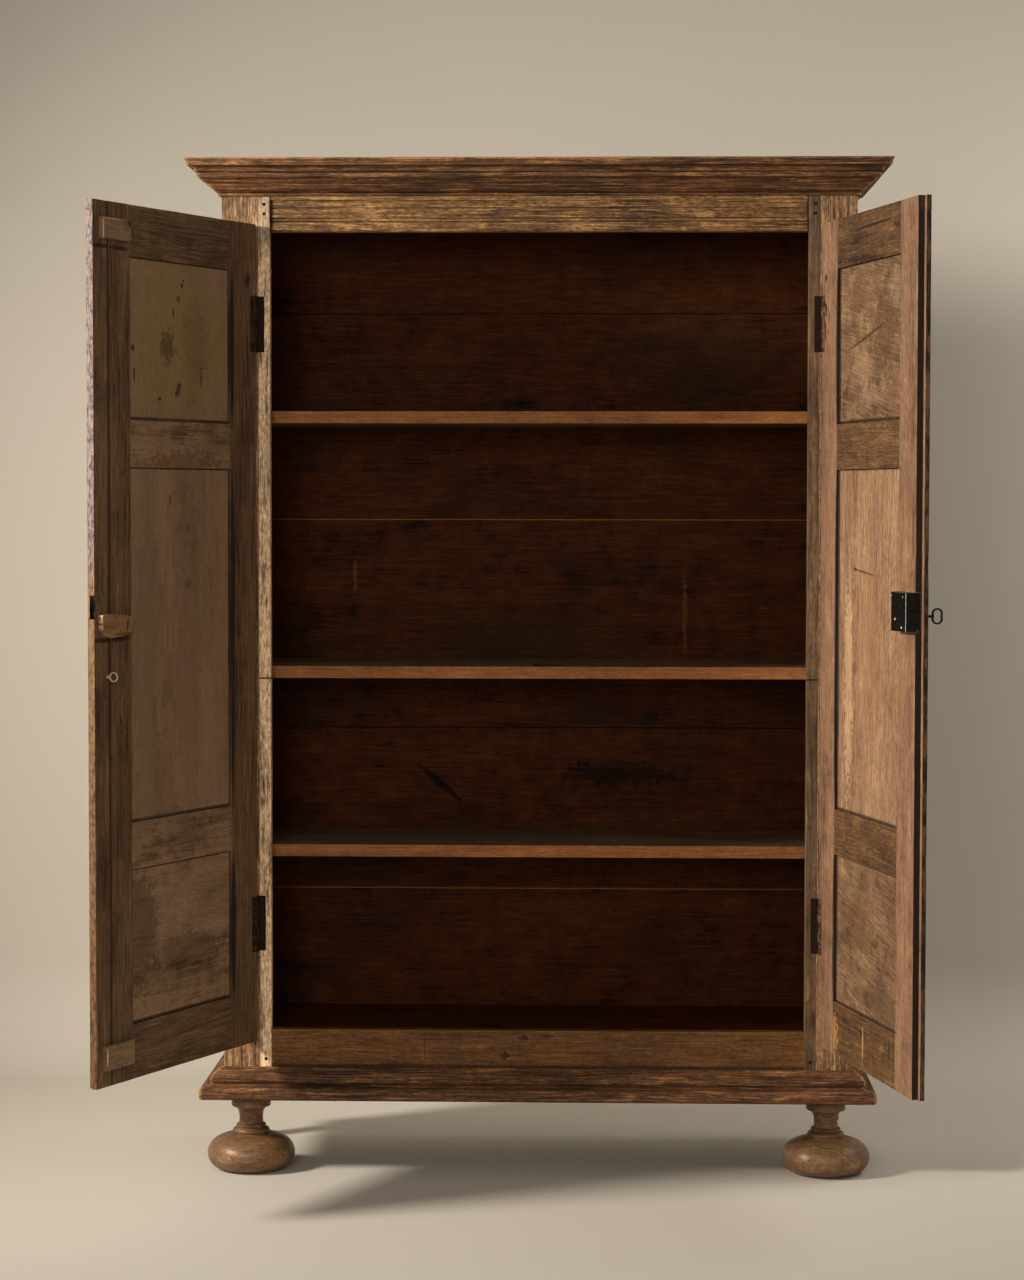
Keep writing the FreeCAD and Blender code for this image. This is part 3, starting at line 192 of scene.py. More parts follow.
# how far each door is turned at rest, the ways that grain can run, and the ways that the doors' outsides face
TURNS = {"left": math.radians(-115.3), "right": math.radians(103.5)}
ALONG = {"up": Vector((0, 0, 1)), "across": Vector((1, 0, 0)), "deep": Vector((0, 1, 0)),
         **{side: Vector((math.cos(turn), math.sin(turn), 0)) for side, turn in TURNS.items()}}
OUTWARD = {side: Matrix.Rotation(turn, 3, "Z") @ Vector((0, -1, 0)) for side, turn in TURNS.items()}


def copied(node):
    """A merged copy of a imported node, with its flat faces joined."""
    shape = bmesh.new()
    shape.from_mesh(NODES[node].data)
    bmesh.ops.remove_doubles(shape, verts=shape.verts, dist=0.01 * MM)
    bmesh.ops.dissolve_limit(shape, angle_limit=math.radians(0.6), verts=shape.verts, edges=shape.edges)
    return shape


def sliced(shape, way, step):
    """Cuts a board across its length, so that its edges can wear unevenly."""
    places = [vert.co.dot(way) for vert in shape.verts]
    low, high = min(places), max(places)
    count = int((high - low) / step)
    for index in range(1, count):
        at = low + (high - low) * index / count
        bmesh.ops.bisect_plane(shape, geom=shape.verts[:] + shape.edges[:] + shape.faces[:], dist=0.001 * MM,
                               plane_co=way * at, plane_no=way)


def sharp_convex(edge):
    return len(edge.link_faces) == 2 and edge.is_convex and edge.calc_face_angle(0.0) > SHARP


def worn_down(shape, depth):
    """Takes a little off the sharp edges, more in some places, as use does."""
    wear_scale, dent_scale, dent_from, dent_depth = 17.0, 31.0, 0.38, 3.2
    elsewhere = Vector((5.0, 2.0, 9.0))
    moves = {}
    for vert in shape.verts:
        if any(sharp_convex(edge) for edge in vert.link_edges):
            soft = 0.5 + 0.5 * noise.noise(vert.co * wear_scale)
            dent = max(0.0, noise.noise(vert.co * dent_scale + elsewhere) - dent_from) * dent_depth
            moves[vert] = vert.normal * -depth * (0.55 * soft + dent)
    for vert, move in moves.items():
        vert.co += move


def rounded(shape, width, segments=2, keep_off=None):
    """Rounds the sharp outer edges and marks the rounding as worn.

    Edges in the ball keep_off, a centre and a radius, stay sharp."""
    worn = shape.faces.layers.float.new("worn")
    edges = [edge for edge in shape.edges if sharp_convex(edge) and edge.calc_length() > 2.4 * width]
    if keep_off:
        centre, radius = keep_off
        edges = [edge for edge in edges if min((vert.co - centre).length for vert in edge.verts) > radius]
    done = bmesh.ops.bevel(shape, geom=edges, offset=width, offset_type="OFFSET", segments=segments,
                           profile=0.5, affect="EDGES", clamp_overlap=True, material=-1)
    for face in done["faces"]:
        face[worn] = 1.0


def numbered(shape, start):
    """Gives each board of a piece its own number, for its own stretch of grain."""
    layer = shape.faces.layers.float.new("board")
    apart = 0.37
    seen = set()
    count = 0
    for first in shape.faces:
        if first.index in seen:
            continue
        count += 1
        seen.add(first.index)
        todo = [first]
        while todo:
            face = todo.pop()
            face[layer] = start + apart * count
            for edge in face.edges:
                for other in edge.link_faces:
                    if other.index not in seen:
                        seen.add(other.index)
                        todo.append(other)


def piece(name, shape, finish, body, stands_for, smooth_below=32.0, number=None):
    """Turns a finished shape into a piece that rides on a body, in place of the nodes that it stands for."""
    shape.faces.index_update()
    if number is not None:
        numbered(shape, number)
    mesh = bpy.data.meshes.new(name)
    shape.to_mesh(mesh)
    shape.free()
    mesh.materials.append(finish)
    mesh.shade_smooth()
    mesh.set_sharp_from_angle(angle=math.radians(smooth_below))
    thing = bpy.data.objects.new(name, mesh)
    bpy.context.scene.collection.objects.link(thing)
    weighted = thing.modifiers.new("Even normals", "WEIGHTED_NORMAL")
    weighted.keep_sharp = True
    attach(thing, body)
    if stands_for:
        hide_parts(*stands_for)
    return thing


def board(node, way, finish, number, edge=None, erosion=None):
    """One packed wooden node with softened, unevenly worn edges. Its number picks its stretch of grain."""
    making = bpy.context.scene.cupboard_making
    shape = copied(node)
    sliced(shape, ALONG[way], making.step)
    shape.normal_update()
    worn_down(shape, making.erosion if erosion is None else erosion)
    rounded(shape, making.edge if edge is None else edge)
    piece("worn_" + node, shape, finish, BODY_OF[node], [node], number=number)


def boards(nodes, way, finish, start, step, **easing):
    """Several boards of one finish, numbered from a start in even steps."""
    for index, node in enumerate(nodes):
        board(node, way, finish, start + index * step, **easing)


def spun(outline, centre, axis, steps):
    """A shape turned from an outline, as on a lathe."""
    shape = bmesh.new()
    points = [shape.verts.new(place) for place in outline]
    edges = [shape.edges.new(pair) for pair in zip(points, points[1:])]
    bmesh.ops.spin(shape, geom=points + edges, cent=centre, axis=axis, angle=math.tau, steps=steps,
                   use_merge=True)
    bmesh.ops.remove_doubles(shape, verts=shape.verts, dist=0.02 * MM)
    return shape


# finishes

class Net:
    """A node tree, with short calls for what the finishes use."""

    def __init__(self, tree):
        self.tree = tree

    def add(self, kind, inputs=None, **settings):
        made = self.tree.nodes.new("ShaderNode" + kind)
        for key, value in settings.items():
            setattr(made, key, value)
        for key, value in (inputs or {}).items():
            self.feed(made.inputs[key], value)
        return made

    def feed(self, socket, value):
        if isinstance(value, bpy.types.NodeSocket):
            self.tree.links.new(value, socket)
        elif isinstance(value, (tuple, Vector, Euler)) and len(value) == 3 and socket.type == "RGBA":
            socket.default_value = (*value, 1.0)
        else:
            socket.default_value = value

    def maths(self, operation, first, second=0.0, third=0.0, clamp=False):
        made = self.add("Math", {0: first, 1: second, 2: third}, operation=operation, use_clamp=clamp)
        return made.outputs[0]

    def vector(self, operation, first, second=(0.0, 0.0, 0.0), out=0):
        return self.add("VectorMath", {0: first, 1: second}, operation=operation).outputs[out]

    def scaled(self, first, amount):
        return self.add("VectorMath", {0: first, "Scale": amount}, operation="SCALE").outputs[0]

    def stretched(self, place, along):
        """A place with the pattern on it drawn out along the grain."""
        return self.vector("MULTIPLY", place, (1.0, 1.0, along))

    def turned(self, place, turn):
        made = self.add("VectorRotate", {"Vector": place, "Rotation": turn}, rotation_type="EULER_XYZ")
        return made.outputs[0]

    def noise(self, place, scale, detail=3.0, rough=0.5, bend=0.0, out=0):
        return self.add("TexNoise", {"Vector": place, "Scale": scale, "Detail": detail, "Roughness": rough,
                                     "Distortion": bend}).outputs[out]

    def span(self, value, low, high, to_low=0.0, to_high=1.0):
        return self.add("MapRange", {"Value": value, "From Min": low, "From Max": high, "To Min": to_low,
                                     "To Max": to_high}, interpolation_type="SMOOTHSTEP").outputs[0]

    def mix(self, share, first, second, blend="MIX"):
        made = self.add("Mix", {0: share}, data_type="RGBA", blend_type=blend)
        self.feed(made.inputs[6], first)
        self.feed(made.inputs[7], second)
        return made.outputs[2]

    def openness(self, reach, inside=False):
        """How open a place is within a reach, looking out of the piece or into it."""
        made = self.add("AmbientOcclusion", {"Distance": reach}, samples=6, only_local=True, inside=inside)
        return made.outputs["AO"]

    def show(self, shader):
        """Puts a shader on the surface."""
        self.tree.links.new(shader.outputs[0], self.add("OutputMaterial").inputs[0])


def group_socket(tree, name, way, kind, default=None):
    made = tree.interface.new_socket(name=name, in_out=way, socket_type="NodeSocket" + kind)
    if default is not None:
        made.default_value = default


# what an old board shows where its finish says nothing else
USUAL = {"Rings": 0.03, "Ring scale": 9.0, "Fibre": 0.55, "Streaks": 0.8, "Hairs": 0.5, "Grit": 0.5,
         "Broad": 0.6, "Dirt": 0.5, "Pores": 0.6, "Holes": 0.0, "Rub": 0.5, "Edge": 0.0, "Hollow": 0.0,
         "Mottle": 0.5}


def old_board_group():
    """Grain, streaks, dirt, open pores, worm holes and rubbed spots of an old board.

    The grain runs along Z."""
    found = bpy.data.node_groups.get("Old board")
    if found:
        return found
    tree = bpy.data.node_groups.new("Old board", "ShaderNodeTree")
    group_socket(tree, "Place", "INPUT", "Vector")
    group_socket(tree, "Turn", "INPUT", "Vector")
    for name in ("Dark", "Middle", "Light"):
        group_socket(tree, name, "INPUT", "Color", (0.5, 0.5, 0.5, 1.0))
    for name, amount in USUAL.items():
        group_socket(tree, name, "INPUT", "Float", amount)
    group_socket(tree, "Color", "OUTPUT", "Color")
    group_socket(tree, "Height", "OUTPUT", "Float")
    group_socket(tree, "Roughness", "OUTPUT", "Float")
    net = Net(tree)
    given = tree.nodes.new("NodeGroupInput").outputs
    # each board's own stretch of grain, drifting a little from side to side
    number = net.add("Attribute", attribute_name="board").outputs["Fac"]
    shift = net.add("CombineXYZ", {axis: net.maths("MULTIPLY", number, share)
                                   for axis, share in enumerate((1.31, -0.83, 2.17))}).outputs[0]
    place = net.vector("ADD", net.turned(given["Place"], given["Turn"]), shift)
    drift = net.noise(net.stretched(place, 0.3), 5.0, 2.0, out=1)
    drift = net.scaled(net.vector("SUBTRACT", drift, (0.5, 0.5, 0.5)), 0.03)
    place = net.vector("ADD", place, net.vector("MULTIPLY", drift, (1.0, 1.0, 0.0)))
    # patterns from the finest to the widest, added up to one tone
    fibre = net.noise(net.stretched(place, 0.03), 640.0, 3.0, 0.7)
    streak = net.noise(net.stretched(place, 0.045), 165.0, 5.0, 0.64)
    broad = net.noise(net.stretched(place, 0.14), 15.0, 4.0, 0.55, 0.3)
    mottle = net.noise(place, 26.0, 5.0, 0.6, 0.4)
    blotch = net.noise(net.stretched(place, 0.55), 6.0, 6.0, 0.62)
    rings = net.add("TexWave", {"Vector": net.stretched(place, 0.07), "Scale": given["Ring scale"],
                                "Distortion": 5.0, "Detail": 3.0, "Detail Scale": 1.4,
                                "Detail Roughness": 0.6},
                    wave_type="RINGS", rings_direction="Z", wave_profile="SIN").outputs["Fac"]
    value = 0.5
    for pattern, name in ((streak, "Streaks"), (fibre, "Fibre"), (rings, "Rings"), (broad, "Broad"),
                          (mottle, "Mottle")):
        value = net.maths("MULTIPLY_ADD", net.maths("SUBTRACT", pattern, 0.5), given[name], value)
    tone = net.mix(net.span(value, 0.12, 0.55), given["Dark"], given["Middle"])
    tone = net.mix(net.span(value, 0.52, 0.98), tone, given["Light"])
    # spots rubbed light, most of all on the edges
    rubbing = net.noise(net.stretched(place, 0.16), 48.0, 6.0, 0.66)
    rubbing = net.maths("MULTIPLY_ADD", given["Edge"], 0.34, rubbing)
    rubbing = net.maths("MULTIPLY", net.span(rubbing, 0.56, 0.72), given["Rub"], clamp=True)
    tone = net.mix(rubbing, tone, given["Light"])
    # grime, most of all in the hollows
    grime = net.maths("MULTIPLY_ADD", given["Hollow"], 0.7, net.span(blotch, 0.46, 0.74))
    grime = net.maths("MULTIPLY", grime, given["Dirt"], clamp=True)
    tone = net.mix(grime, tone, net.mix(0.45, given["Dark"], (0.012, 0.008, 0.006)))
    # open pores, dark and pale hairs, grit and worm holes
    pores = net.noise(net.stretched(place, 0.05), 300.0, 3.0, 0.6)
    pores = net.maths("MULTIPLY", net.span(pores, 0.60, 0.72), net.span(broad, 0.30, 0.62), clamp=True)
    pores = net.maths("MULTIPLY", pores, given["Pores"], clamp=True)
    tone = net.mix(pores, tone, net.mix(0.6, given["Dark"], (0.01, 0.006, 0.004)))
    hairs = net.noise(net.stretched(place, 0.022), 400.0, 3.0, 0.6)
    dark_hairs = net.maths("MULTIPLY", net.span(hairs, 0.54, 0.64), given["Hairs"], clamp=True)
    tone = net.mix(dark_hairs, tone, net.mix(0.5, given["Dark"], tone))
    pale_hairs = net.maths("MULTIPLY", net.span(hairs, 0.46, 0.34), given["Hairs"], clamp=True)
    tone = net.mix(net.maths("MULTIPLY", pale_hairs, 0.6), tone, given["Light"])
    grit = net.noise(net.stretched(place, 0.3), 260.0, 5.0, 0.75)
    grit = net.maths("SUBTRACT", grit, 0.5)
    grit = net.maths("MULTIPLY_ADD", grit, net.maths("MULTIPLY", given["Grit"], 3.2), 1.0)
    tone = net.scaled(tone, net.maths("MAXIMUM", grit, 0.25))
    cells = net.add("TexVoronoi", {"Vector": place, "Scale": 74.0, "Randomness": 1.0}, feature="F1").outputs
    spots = net.span(cells["Distance"], 0.05, 0.085, 1.0, 0.0)
    wormy = net.span(net.noise(place, 9.0, 3.0), 0.52, 0.6)
    chosen = net.maths("GREATER_THAN", net.add("SeparateColor", {0: cells["Color"]}).outputs[0], 0.45)
    holes = net.maths("MULTIPLY", net.maths("MULTIPLY", spots, wormy),
                      net.maths("MULTIPLY", chosen, given["Holes"]), clamp=True)
    tone = net.mix(holes, tone, (0.008, 0.005, 0.003))
    # what stands proud or lies deep, and how matt it is
    height = net.maths("MULTIPLY_ADD", streak, 0.5, net.maths("MULTIPLY", fibre, 0.35))
    height = net.maths("MULTIPLY_ADD", pores, -0.8, height)
    height = net.maths("MULTIPLY_ADD", holes, -2.0, height)
    height = net.maths("MULTIPLY_ADD", mottle, 0.4, height)
    height = net.maths("MULTIPLY_ADD", dark_hairs, -0.35, height)
    rough = net.maths("MULTIPLY_ADD", rubbing, -0.10, net.span(streak, 0.3, 0.7, 0.72, 0.60))
    given_out = tree.nodes.new("NodeGroupOutput").inputs
    net.feed(given_out["Color"], tone)
    net.feed(given_out["Height"], height)
    net.feed(given_out["Roughness"], rough)
    return tree


def grain_turn(way, lean=0.0):
    """Turn that brings a board's length onto Z."""
    if way == "up":
        turn = Matrix.Rotation(lean, 3, "Y")
    elif way == "deep":
        turn = Matrix.Rotation(math.pi / 2, 3, "X")
    else:
        about = Matrix.Rotation(-TURNS.get(way, 0.0), 3, "Z")
        turn = Matrix.Rotation(-math.pi / 2 + lean, 3, "Y") @ about
    return Vector(turn.to_euler("XYZ"))


def tones(family):
    woods = bpy.context.scene.cupboard_woods
    return tuple(tuple(getattr(woods, family + "_" + tone)) for tone in ("dark", "middle", "light"))


def coordinates(net):
    return net.add("TexCoord").outputs


def board_look(net, family, way, lean=0.0, **amounts):
    """One family's look in a finish: its colour, height and roughness."""
    look = net.add("Group", node_tree=old_board_group())
    net.feed(look.inputs["Place"], coordinates(net)["Object"])
    look.inputs["Turn"].default_value = grain_turn(way, lean)
    for name, tone in zip(("Dark", "Middle", "Light"), tones(family)):
        look.inputs[name].default_value = (*tone, 1.0)
    if "Edge" not in amounts:
        net.feed(look.inputs["Edge"], net.add("Attribute", attribute_name="worn").outputs["Fac"])
    for name, amount in amounts.items():
        net.feed(look.inputs[name], amount)
    return look.outputs


def facing(net, way, low, high):
    """How far a surface of the piece faces one way."""
    return net.span(net.vector("DOT_PRODUCT", coordinates(net)["Normal"], tuple(way), out=1), low, high)


def spot(net, centre, reach, ragged, turn):
    """A soft-edged ellipsoid patch round a place on the piece, turned where a turn is given."""
    place = net.vector("SUBTRACT", coordinates(net)["Object"], tuple(centre))
    if turn is not None:
        place = net.turned(place, turn)
    place = net.vector("MULTIPLY", place, tuple(1.0 / part for part in reach))
    far = net.vector("LENGTH", place, out=1)
    rag = net.noise(coordinates(net)["Object"], 90.0, 4.0, 0.65)
    far = net.maths("MULTIPLY_ADD", net.maths("SUBTRACT", rag, 0.5), ragged * 3.0, far)
    return net.span(far, 0.7, 1.1, 1.0, 0.0)


def marked(net, colour, marks):
    """Knots, cracks, stains, scrapes, painted shadows and painted highlights on a finish.

    Each is a row of centre, reach, tint, amount, raggedness and turn. A tint that is one number only darkens
    the wood there."""
    for centre, reach, tint, amount, ragged, turn in marks:
        share = net.maths("MULTIPLY", spot(net, centre, reach, ragged, turn), amount)
        colour = net.mix(share, colour, net.scaled(colour, tint) if isinstance(tint, float) else shade(*tint))
    return colour


def door_place(side, along, high):
    """A place on the inner face of a door at rest, in millimetres from its hinge edge and the floor."""
    way = {"left": 1, "right": -1}[side]
    hinge = Vector(JOINTS[side + "_door_hinge"]["pos_m"])
    out = Vector((way * (along + HINGE_TO_EDGE), HINGE_TO_FACE, 0.0))
    out = Matrix.Rotation(TURNS[side], 3, "Z") @ out * MM
    return Vector((hinge.x + out.x, hinge.y + out.y, high * MM))


def door_marks(side, rows):
    """Marks from a door's rows: along, high, half width, half height, tint, amount, raggedness, lean."""
    made = []
    for along, high, wide, tall, tint, amount, ragged, lean in rows:
        way = Matrix.Rotation(math.radians(lean), 3, "Y") @ Matrix.Rotation(-TURNS[side], 3, "Z")
        made.append((door_place(side, along, high), (wide * MM, MARK_DEPTH, tall * MM), tint, amount, ragged,
                     Vector(way.to_euler("XYZ"))))
    return made


def panel_shadows(side, along, width):
    """Painted shadows beside and across the panels of a door, where the stiles and rails step down to them:
    rows for its stiles and for its panels.
    """
    beside, across = [], []
    middle, reach = 290, 330
    for level in ("top", "middle", "bottom"):
        low, high = (corner.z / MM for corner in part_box(side + "_door_panel_" + level))
        beside.append((along, (low + high) / 2, width, (high - low) / 2 * 1.06, (18, 11, 7), 0.85, 0.10, 0))
        across.append((middle, low + 11, reach, 3.6, (24, 15, 9), 0.80, 0.16, 0))
        across.append((middle, high - 9, reach, 2.2, (34, 22, 13), 0.70, 0.16, 0))
    return beside, across


def new_finish(name):
    """An empty finish and its node tree."""
    made = bpy.data.materials.new(name)
    made.use_nodes = True
    made.node_tree.nodes.clear()
    return made, Net(made.node_tree)


def finish_wood(name, build, bump=0.7, coat=0.0, gloss=0.32):
    """A wood finish, made once. The build function returns colour, height and roughness."""
    found = bpy.data.materials.get(name)
    if found:
        return found
    made, net = new_finish(name)
    colour, height, rough = build(net)
    bumped = net.add("Bump", {"Strength": bump, "Distance": 1.2 * MM, "Height": height}).outputs[0]
    shader = net.add("BsdfPrincipled", {"Base Color": colour, "Roughness": rough, "Normal": bumped})
    shader.inputs["Specular IOR Level"].default_value = gloss
    shader.inputs["Coat Weight"].default_value = coat
    shader.inputs["Coat Roughness"].default_value = 0.35
    net.show(shader)
    return made


def plain_wood(name, family, way, bump=0.7, coat=0.0, gloss=0.32, marks=(), **amounts):
    """One family's wood all over, with the marks given."""
    def build(net):
        look = board_look(net, family, way, **amounts)
        return marked(net, look["Color"], marks), look["Height"], look["Roughness"]
    return finish_wood(name, build, bump, coat, gloss)


def hidden_wood():
    """Dull dark wood of the pieces that are hardly seen."""
    return plain_wood("Hidden wood", "moulding", "up", Dirt=0.7, Rub=0.2, gloss=0.2)


def moulding_wood(name, family, way, rub=0.95, marks=(), **amounts):
    """Wood rubbed bright on its ridges, with dirt left in its hollows."""
    def build(net):
        hollow = net.openness(9 * MM)
        ridge = net.openness(4 * MM, inside=True)
        look = board_look(net, family, way, Edge=net.span(ridge, 0.90, 0.50),
                          Hollow=net.span(hollow, 0.92, 0.45), Dirt=0.75, Rub=rub, **amounts)
        return marked(net, look["Color"], marks), look["Height"], look["Roughness"]
    return finish_wood(name, build, 0.8)


def door_wood(name, side, way, family, lean=0.0, marks=(), free=None, **amounts):
    """Bare wood inside, and the darker waxed finish outside. The free function colours the free edge."""
    def build(net):
        bare = board_look(net, family, way, lean, **amounts)
        waxed = board_look(net, "moulding", way, Streaks=0.7, Broad=0.8, Rub=0.4, Dirt=0.4, Pores=0.7)
        colour = marked(net, bare["Color"], door_marks(side, marks))
        if free:
            colour = free(net, colour)
        outside = facing(net, OUTWARD[side], 0.3, 0.6)
        return net.mix(outside, colour, waxed["Color"]), bare["Height"], bare["Roughness"]
    return finish_wood(name, build)


def limed_edge(net, colour):
    """Pale and purple flakes on the upper part of the left door's free edge, and scraped wood below."""
    place = coordinates(net)["Object"]
    flakes = net.noise(net.vector("MULTIPLY", place, (1.0, 1.0, 0.4)), 170.0, 8.0, 0.75, 0.4)
    worn = net.mix(net.span(flakes, 0.40, 0.58), shade(48, 35, 41), shade(126, 107, 100))
    scraped = net.mix(net.span(flakes, 0.38, 0.60), shade(62, 40, 24), shade(124, 88, 50))
    # the lime ends raggedly, about 1.3 m above the floor
    high = net.add("SeparateXYZ", {0: place}).outputs[2]
    edge = net.mix(net.span(net.maths("MULTIPLY_ADD", flakes, 0.5, high), 1.44, 1.62), scraped, worn)
    return net.mix(facing(net, ALONG["left"], 0.5, 0.75), colour, edge)


def shadowed_edge(net, colour):
    """Painted shade, near black, on the right door's rebate face, which is turned from the lamp, and dark
    mottled wood on the outer edge of its lip.
    """
    way = -ALONG["right"]
    far = max(way.dot(vert.co) for vert in NODES["right_door_free_stile"].data.vertices)
    place = coordinates(net)["Object"]
    along = net.vector("DOT_PRODUCT", place, tuple(way), out=1)
    rough = net.noise(net.vector("MULTIPLY", place, (1.0, 1.0, 0.3)), 70.0, 5.0, 0.65)
    lip = net.mix(net.span(rough, 0.42, 0.60), shade(34, 24, 15), shade(112, 82, 52))
    # the rebate face is painted shade, near black; the lip beyond it is mottled wood
    edge = net.mix(net.span(along, far - 6 * MM, far - 4 * MM), shade(36, 22, 12), lip)
    return net.mix(facing(net, way, 0.5, 0.75), colour, edge)


def iron(name="Forged iron", bright=0.0, tint=None, arris=0.25, shine=0.22, metal=0.85, dry=0.0, patches=0.0):
    """Hammered iron with rubbed edges and specks of rust, made once.

    It goes from black to the tint as bright goes from 0 to 1. Its edges are rubbed as far as arris and as
    light as shine say. Dry takes gloss away, and patches lays grime on it."""
    found = bpy.data.materials.get(name)
    if found:
        return found
    colours = bpy.context.scene.cupboard_iron
    made, net = new_finish(name)
    place = coordinates(net)["Object"]
    hammered = net.noise(place, 210.0, 3.0, 0.55)
    specks = net.noise(place, 900.0, 4.0, 0.7)
    rub = net.maths("MULTIPLY_ADD", net.add("Attribute", attribute_name="worn").outputs["Fac"], arris,
                    net.noise(place, 120.0, 4.0, 0.6))
    base = net.mix(bright, tuple(colours.black), tint or tuple(colours.bright))
    tone = net.mix(net.span(rub, 0.62, 0.80), base, net.mix(shine, base, tuple(colours.bright)))
    rusty = net.maths("MULTIPLY", net.span(specks, 0.60, 0.72), 0.6 - 0.5 * bright)
    tone = net.mix(rusty, tone, tuple(colours.rust))
    grimy = net.span(net.noise(place, 75.0, 5.0, 0.7), 0.44, 0.56)
    tone = net.mix(net.maths("MULTIPLY", grimy, patches), tone, shade(22, 15, 12))
    rough = net.span(hammered, 0.3, 0.7, 0.34 + dry, 0.58 + dry)
    bumped = net.add("Bump", {"Strength": 0.5, "Distance": 0.5 * MM,
                              "Height": net.maths("MULTIPLY_ADD", specks, 0.3, hammered)}).outputs[0]
    shader = net.add("BsdfPrincipled", {"Base Color": tone, "Roughness": rough, "Normal": bumped})
    shader.inputs["Metallic"].default_value = metal
    shader.inputs["Specular IOR Level"].default_value = 0.5 - dry
    net.show(shader)
    return made


def fitting(node, finish, width=0.3 * MM, keep_off=None):
    """One packed iron node with its edges eased."""
    shape = copied(node)
    rounded(shape, width, 1, keep_off)
    piece("forged_" + node, shape, finish, BODY_OF[node], [node], smooth_below=30.0)


# pieces

class CUPBOARD_OT_carcass(bpy.types.Operator):
    """Posts, hinge strips, side panels and bottom rail in pale worn wood"""
    bl_idname = "cupboard.carcass"
    bl_label = "Carcass"

    def joint_line(self, side):
        """The dark line where the two lengths of a hinge strip meet."""
        low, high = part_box("strip_" + side + "_lower")
        joint = Vector(((low.x + high.x) / 2, low.y, high.z))
        return joint, (60 * MM, MARK_DEPTH, 2 * MM), (34, 20, 13), 0.9, 0.15, None

    def lamplit_ends(self):
        """Painted shade at both ends of the left hinge strip, where the lamp reaches it past the door."""
        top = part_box("strip_left_upper")
        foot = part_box("strip_left_lower")
        return [(Vector((top[0].x, FRONT.y, top[1].z)), (0.2, 0.2, 0.12), 0.42, 1.0, 0.25, None),
                (Vector((foot[0].x, FRONT.y, foot[0].z)), (0.2, 0.2, 0.05), 0.62, 1.0, 0.25, None)]

    def rail_marks(self):
        """Knots, a crack and a dark line where the rail meets the base."""
        marks = []
        for across, up, wide, tall, tint, amount, ragged in (
                (-28, 286, 9, 6, (38, 22, 12), 0.85, 1.0), (-69, 248, 11, 8, (40, 24, 14), 0.85, 0.9),
                (20, 290, 5, 4, (46, 28, 16), 0.7, 0.9), (-233, 268, 1.6, 44, (60, 38, 22), 0.6, 0.4),
                (241, 278, 18, 2, (52, 32, 18), 0.6, 0.7)):
            centre = FRONT + Vector((across, 0, up)) * MM
            marks.append((centre, (wide * MM, MARK_DEPTH, tall * MM), tint, amount, ragged, None))
        foot = Vector((FRONT.x, FRONT.y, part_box("base_front")[1].z))
        marks.append((foot, (2.0, MARK_DEPTH, 7 * MM), (40, 20, 12), 0.8, 0.5, None))
        return marks

    def execute(self, context):
        upright = plain_wood("Post wood", "frame", "up", Streaks=1.7, Pores=1.0, Rub=0.7, Dirt=0.6, Holes=0.9,
                             Grit=1.3, Hairs=0.9)
        boards(("post_front_left", "post_front_right"), "up", upright, 0.0, 1.9)
        # the strip's pale tones are painted light, and its ends are painted shade where the lamp reaches them
        pale = plain_wood("Pale strip wood", "strip", "up", Streaks=2.0, Pores=1.0, Rub=0.8, Dirt=0.35,
                          Holes=1.0, Mottle=1.0, Grit=1.2,
                          marks=[self.joint_line("left"), *self.lamplit_ends()])
        boards(("strip_left_lower", "strip_left_upper"), "up", pale, 4.0, 1.9)
        grey = plain_wood("Dark strip wood", "stile", "up", Streaks=1.3, Pores=0.9, Rub=1.0, Dirt=0.6,
                          Holes=0.8, Mottle=0.9, marks=[self.joint_line("right")])
        boards(("strip_right_lower", "strip_right_upper"), "up", grey, 8.0, 1.9)
        flank = plain_wood("Side wood", "frame", "up", Streaks=0.9, Pores=0.6, Rub=0.4, Dirt=0.7)
        boards(("side_left", "side_right"), "up", flank, 14.0, 2.3)
        rail = plain_wood("Rail wood", "rail", "across", Streaks=0.7, Pores=0.8, Rub=0.5, Dirt=0.5, Holes=0.7,
                          Grit=0.8, marks=self.rail_marks())
        board("bottom_rail", "across", rail, 21.0)
        boards(("post_rear_left", "post_rear_right"), "up", hidden_wood(), 30.0, 1.0)
        return {"FINISHED"}


class CUPBOARD_OT_mouldings(bpy.types.Operator):
    """Cornice, frieze and base moulding, rubbed bright on their ridges"""
    bl_idname = "cupboard.mouldings"
    bl_label = "Mouldings"

    def frieze_gaps(self):
        """Painted shadows at the frieze's ends, beside the hinge strips, which stand proud of it."""
        low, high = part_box("frieze")
        ends = (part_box("strip_left_upper")[1].x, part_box("strip_right_upper")[0].x)
        return [(Vector((end, low.y, (low.z + high.z) / 2)), (5 * MM, MARK_DEPTH, 60 * MM), (22, 13, 8), 0.9,
                 0.25, None) for end in ends]

    def execute(self, context):
        amounts = {"Streaks": 1.3, "Pores": 0.9, "Grit": 1.2, "Hairs": 1.0}
        front = moulding_wood("Moulding wood, front", "moulding", "across", **amounts)
        flank = moulding_wood("Moulding wood, sides", "moulding", "deep", **amounts)
        frieze = moulding_wood("Frieze wood", "frieze", "across", rub=0.7, marks=self.frieze_gaps(),
                               Streaks=1.5, Pores=1.0, Grit=1.4, Hairs=1.0, Mottle=0.9)
        easing = {"edge": 0.5 * MM, "erosion": 0.5 * MM}
        boards(("cornice_front", "base_front"), "across", front, 40.0, 3.1, **easing)
        boards(("cornice_left", "cornice_right", "base_left", "base_right"), "deep", flank, 50.0, 2.7,
               **easing)
        board("frieze", "across", frieze, 61.0, edge=0.4 * MM, erosion=0.4 * MM)
        top = plain_wood("Top wood", "moulding", "across", Dirt=0.8, Rub=0.2, gloss=0.2)
        board("top_board", "across", top, 66.0)
        return {"FINISHED"}


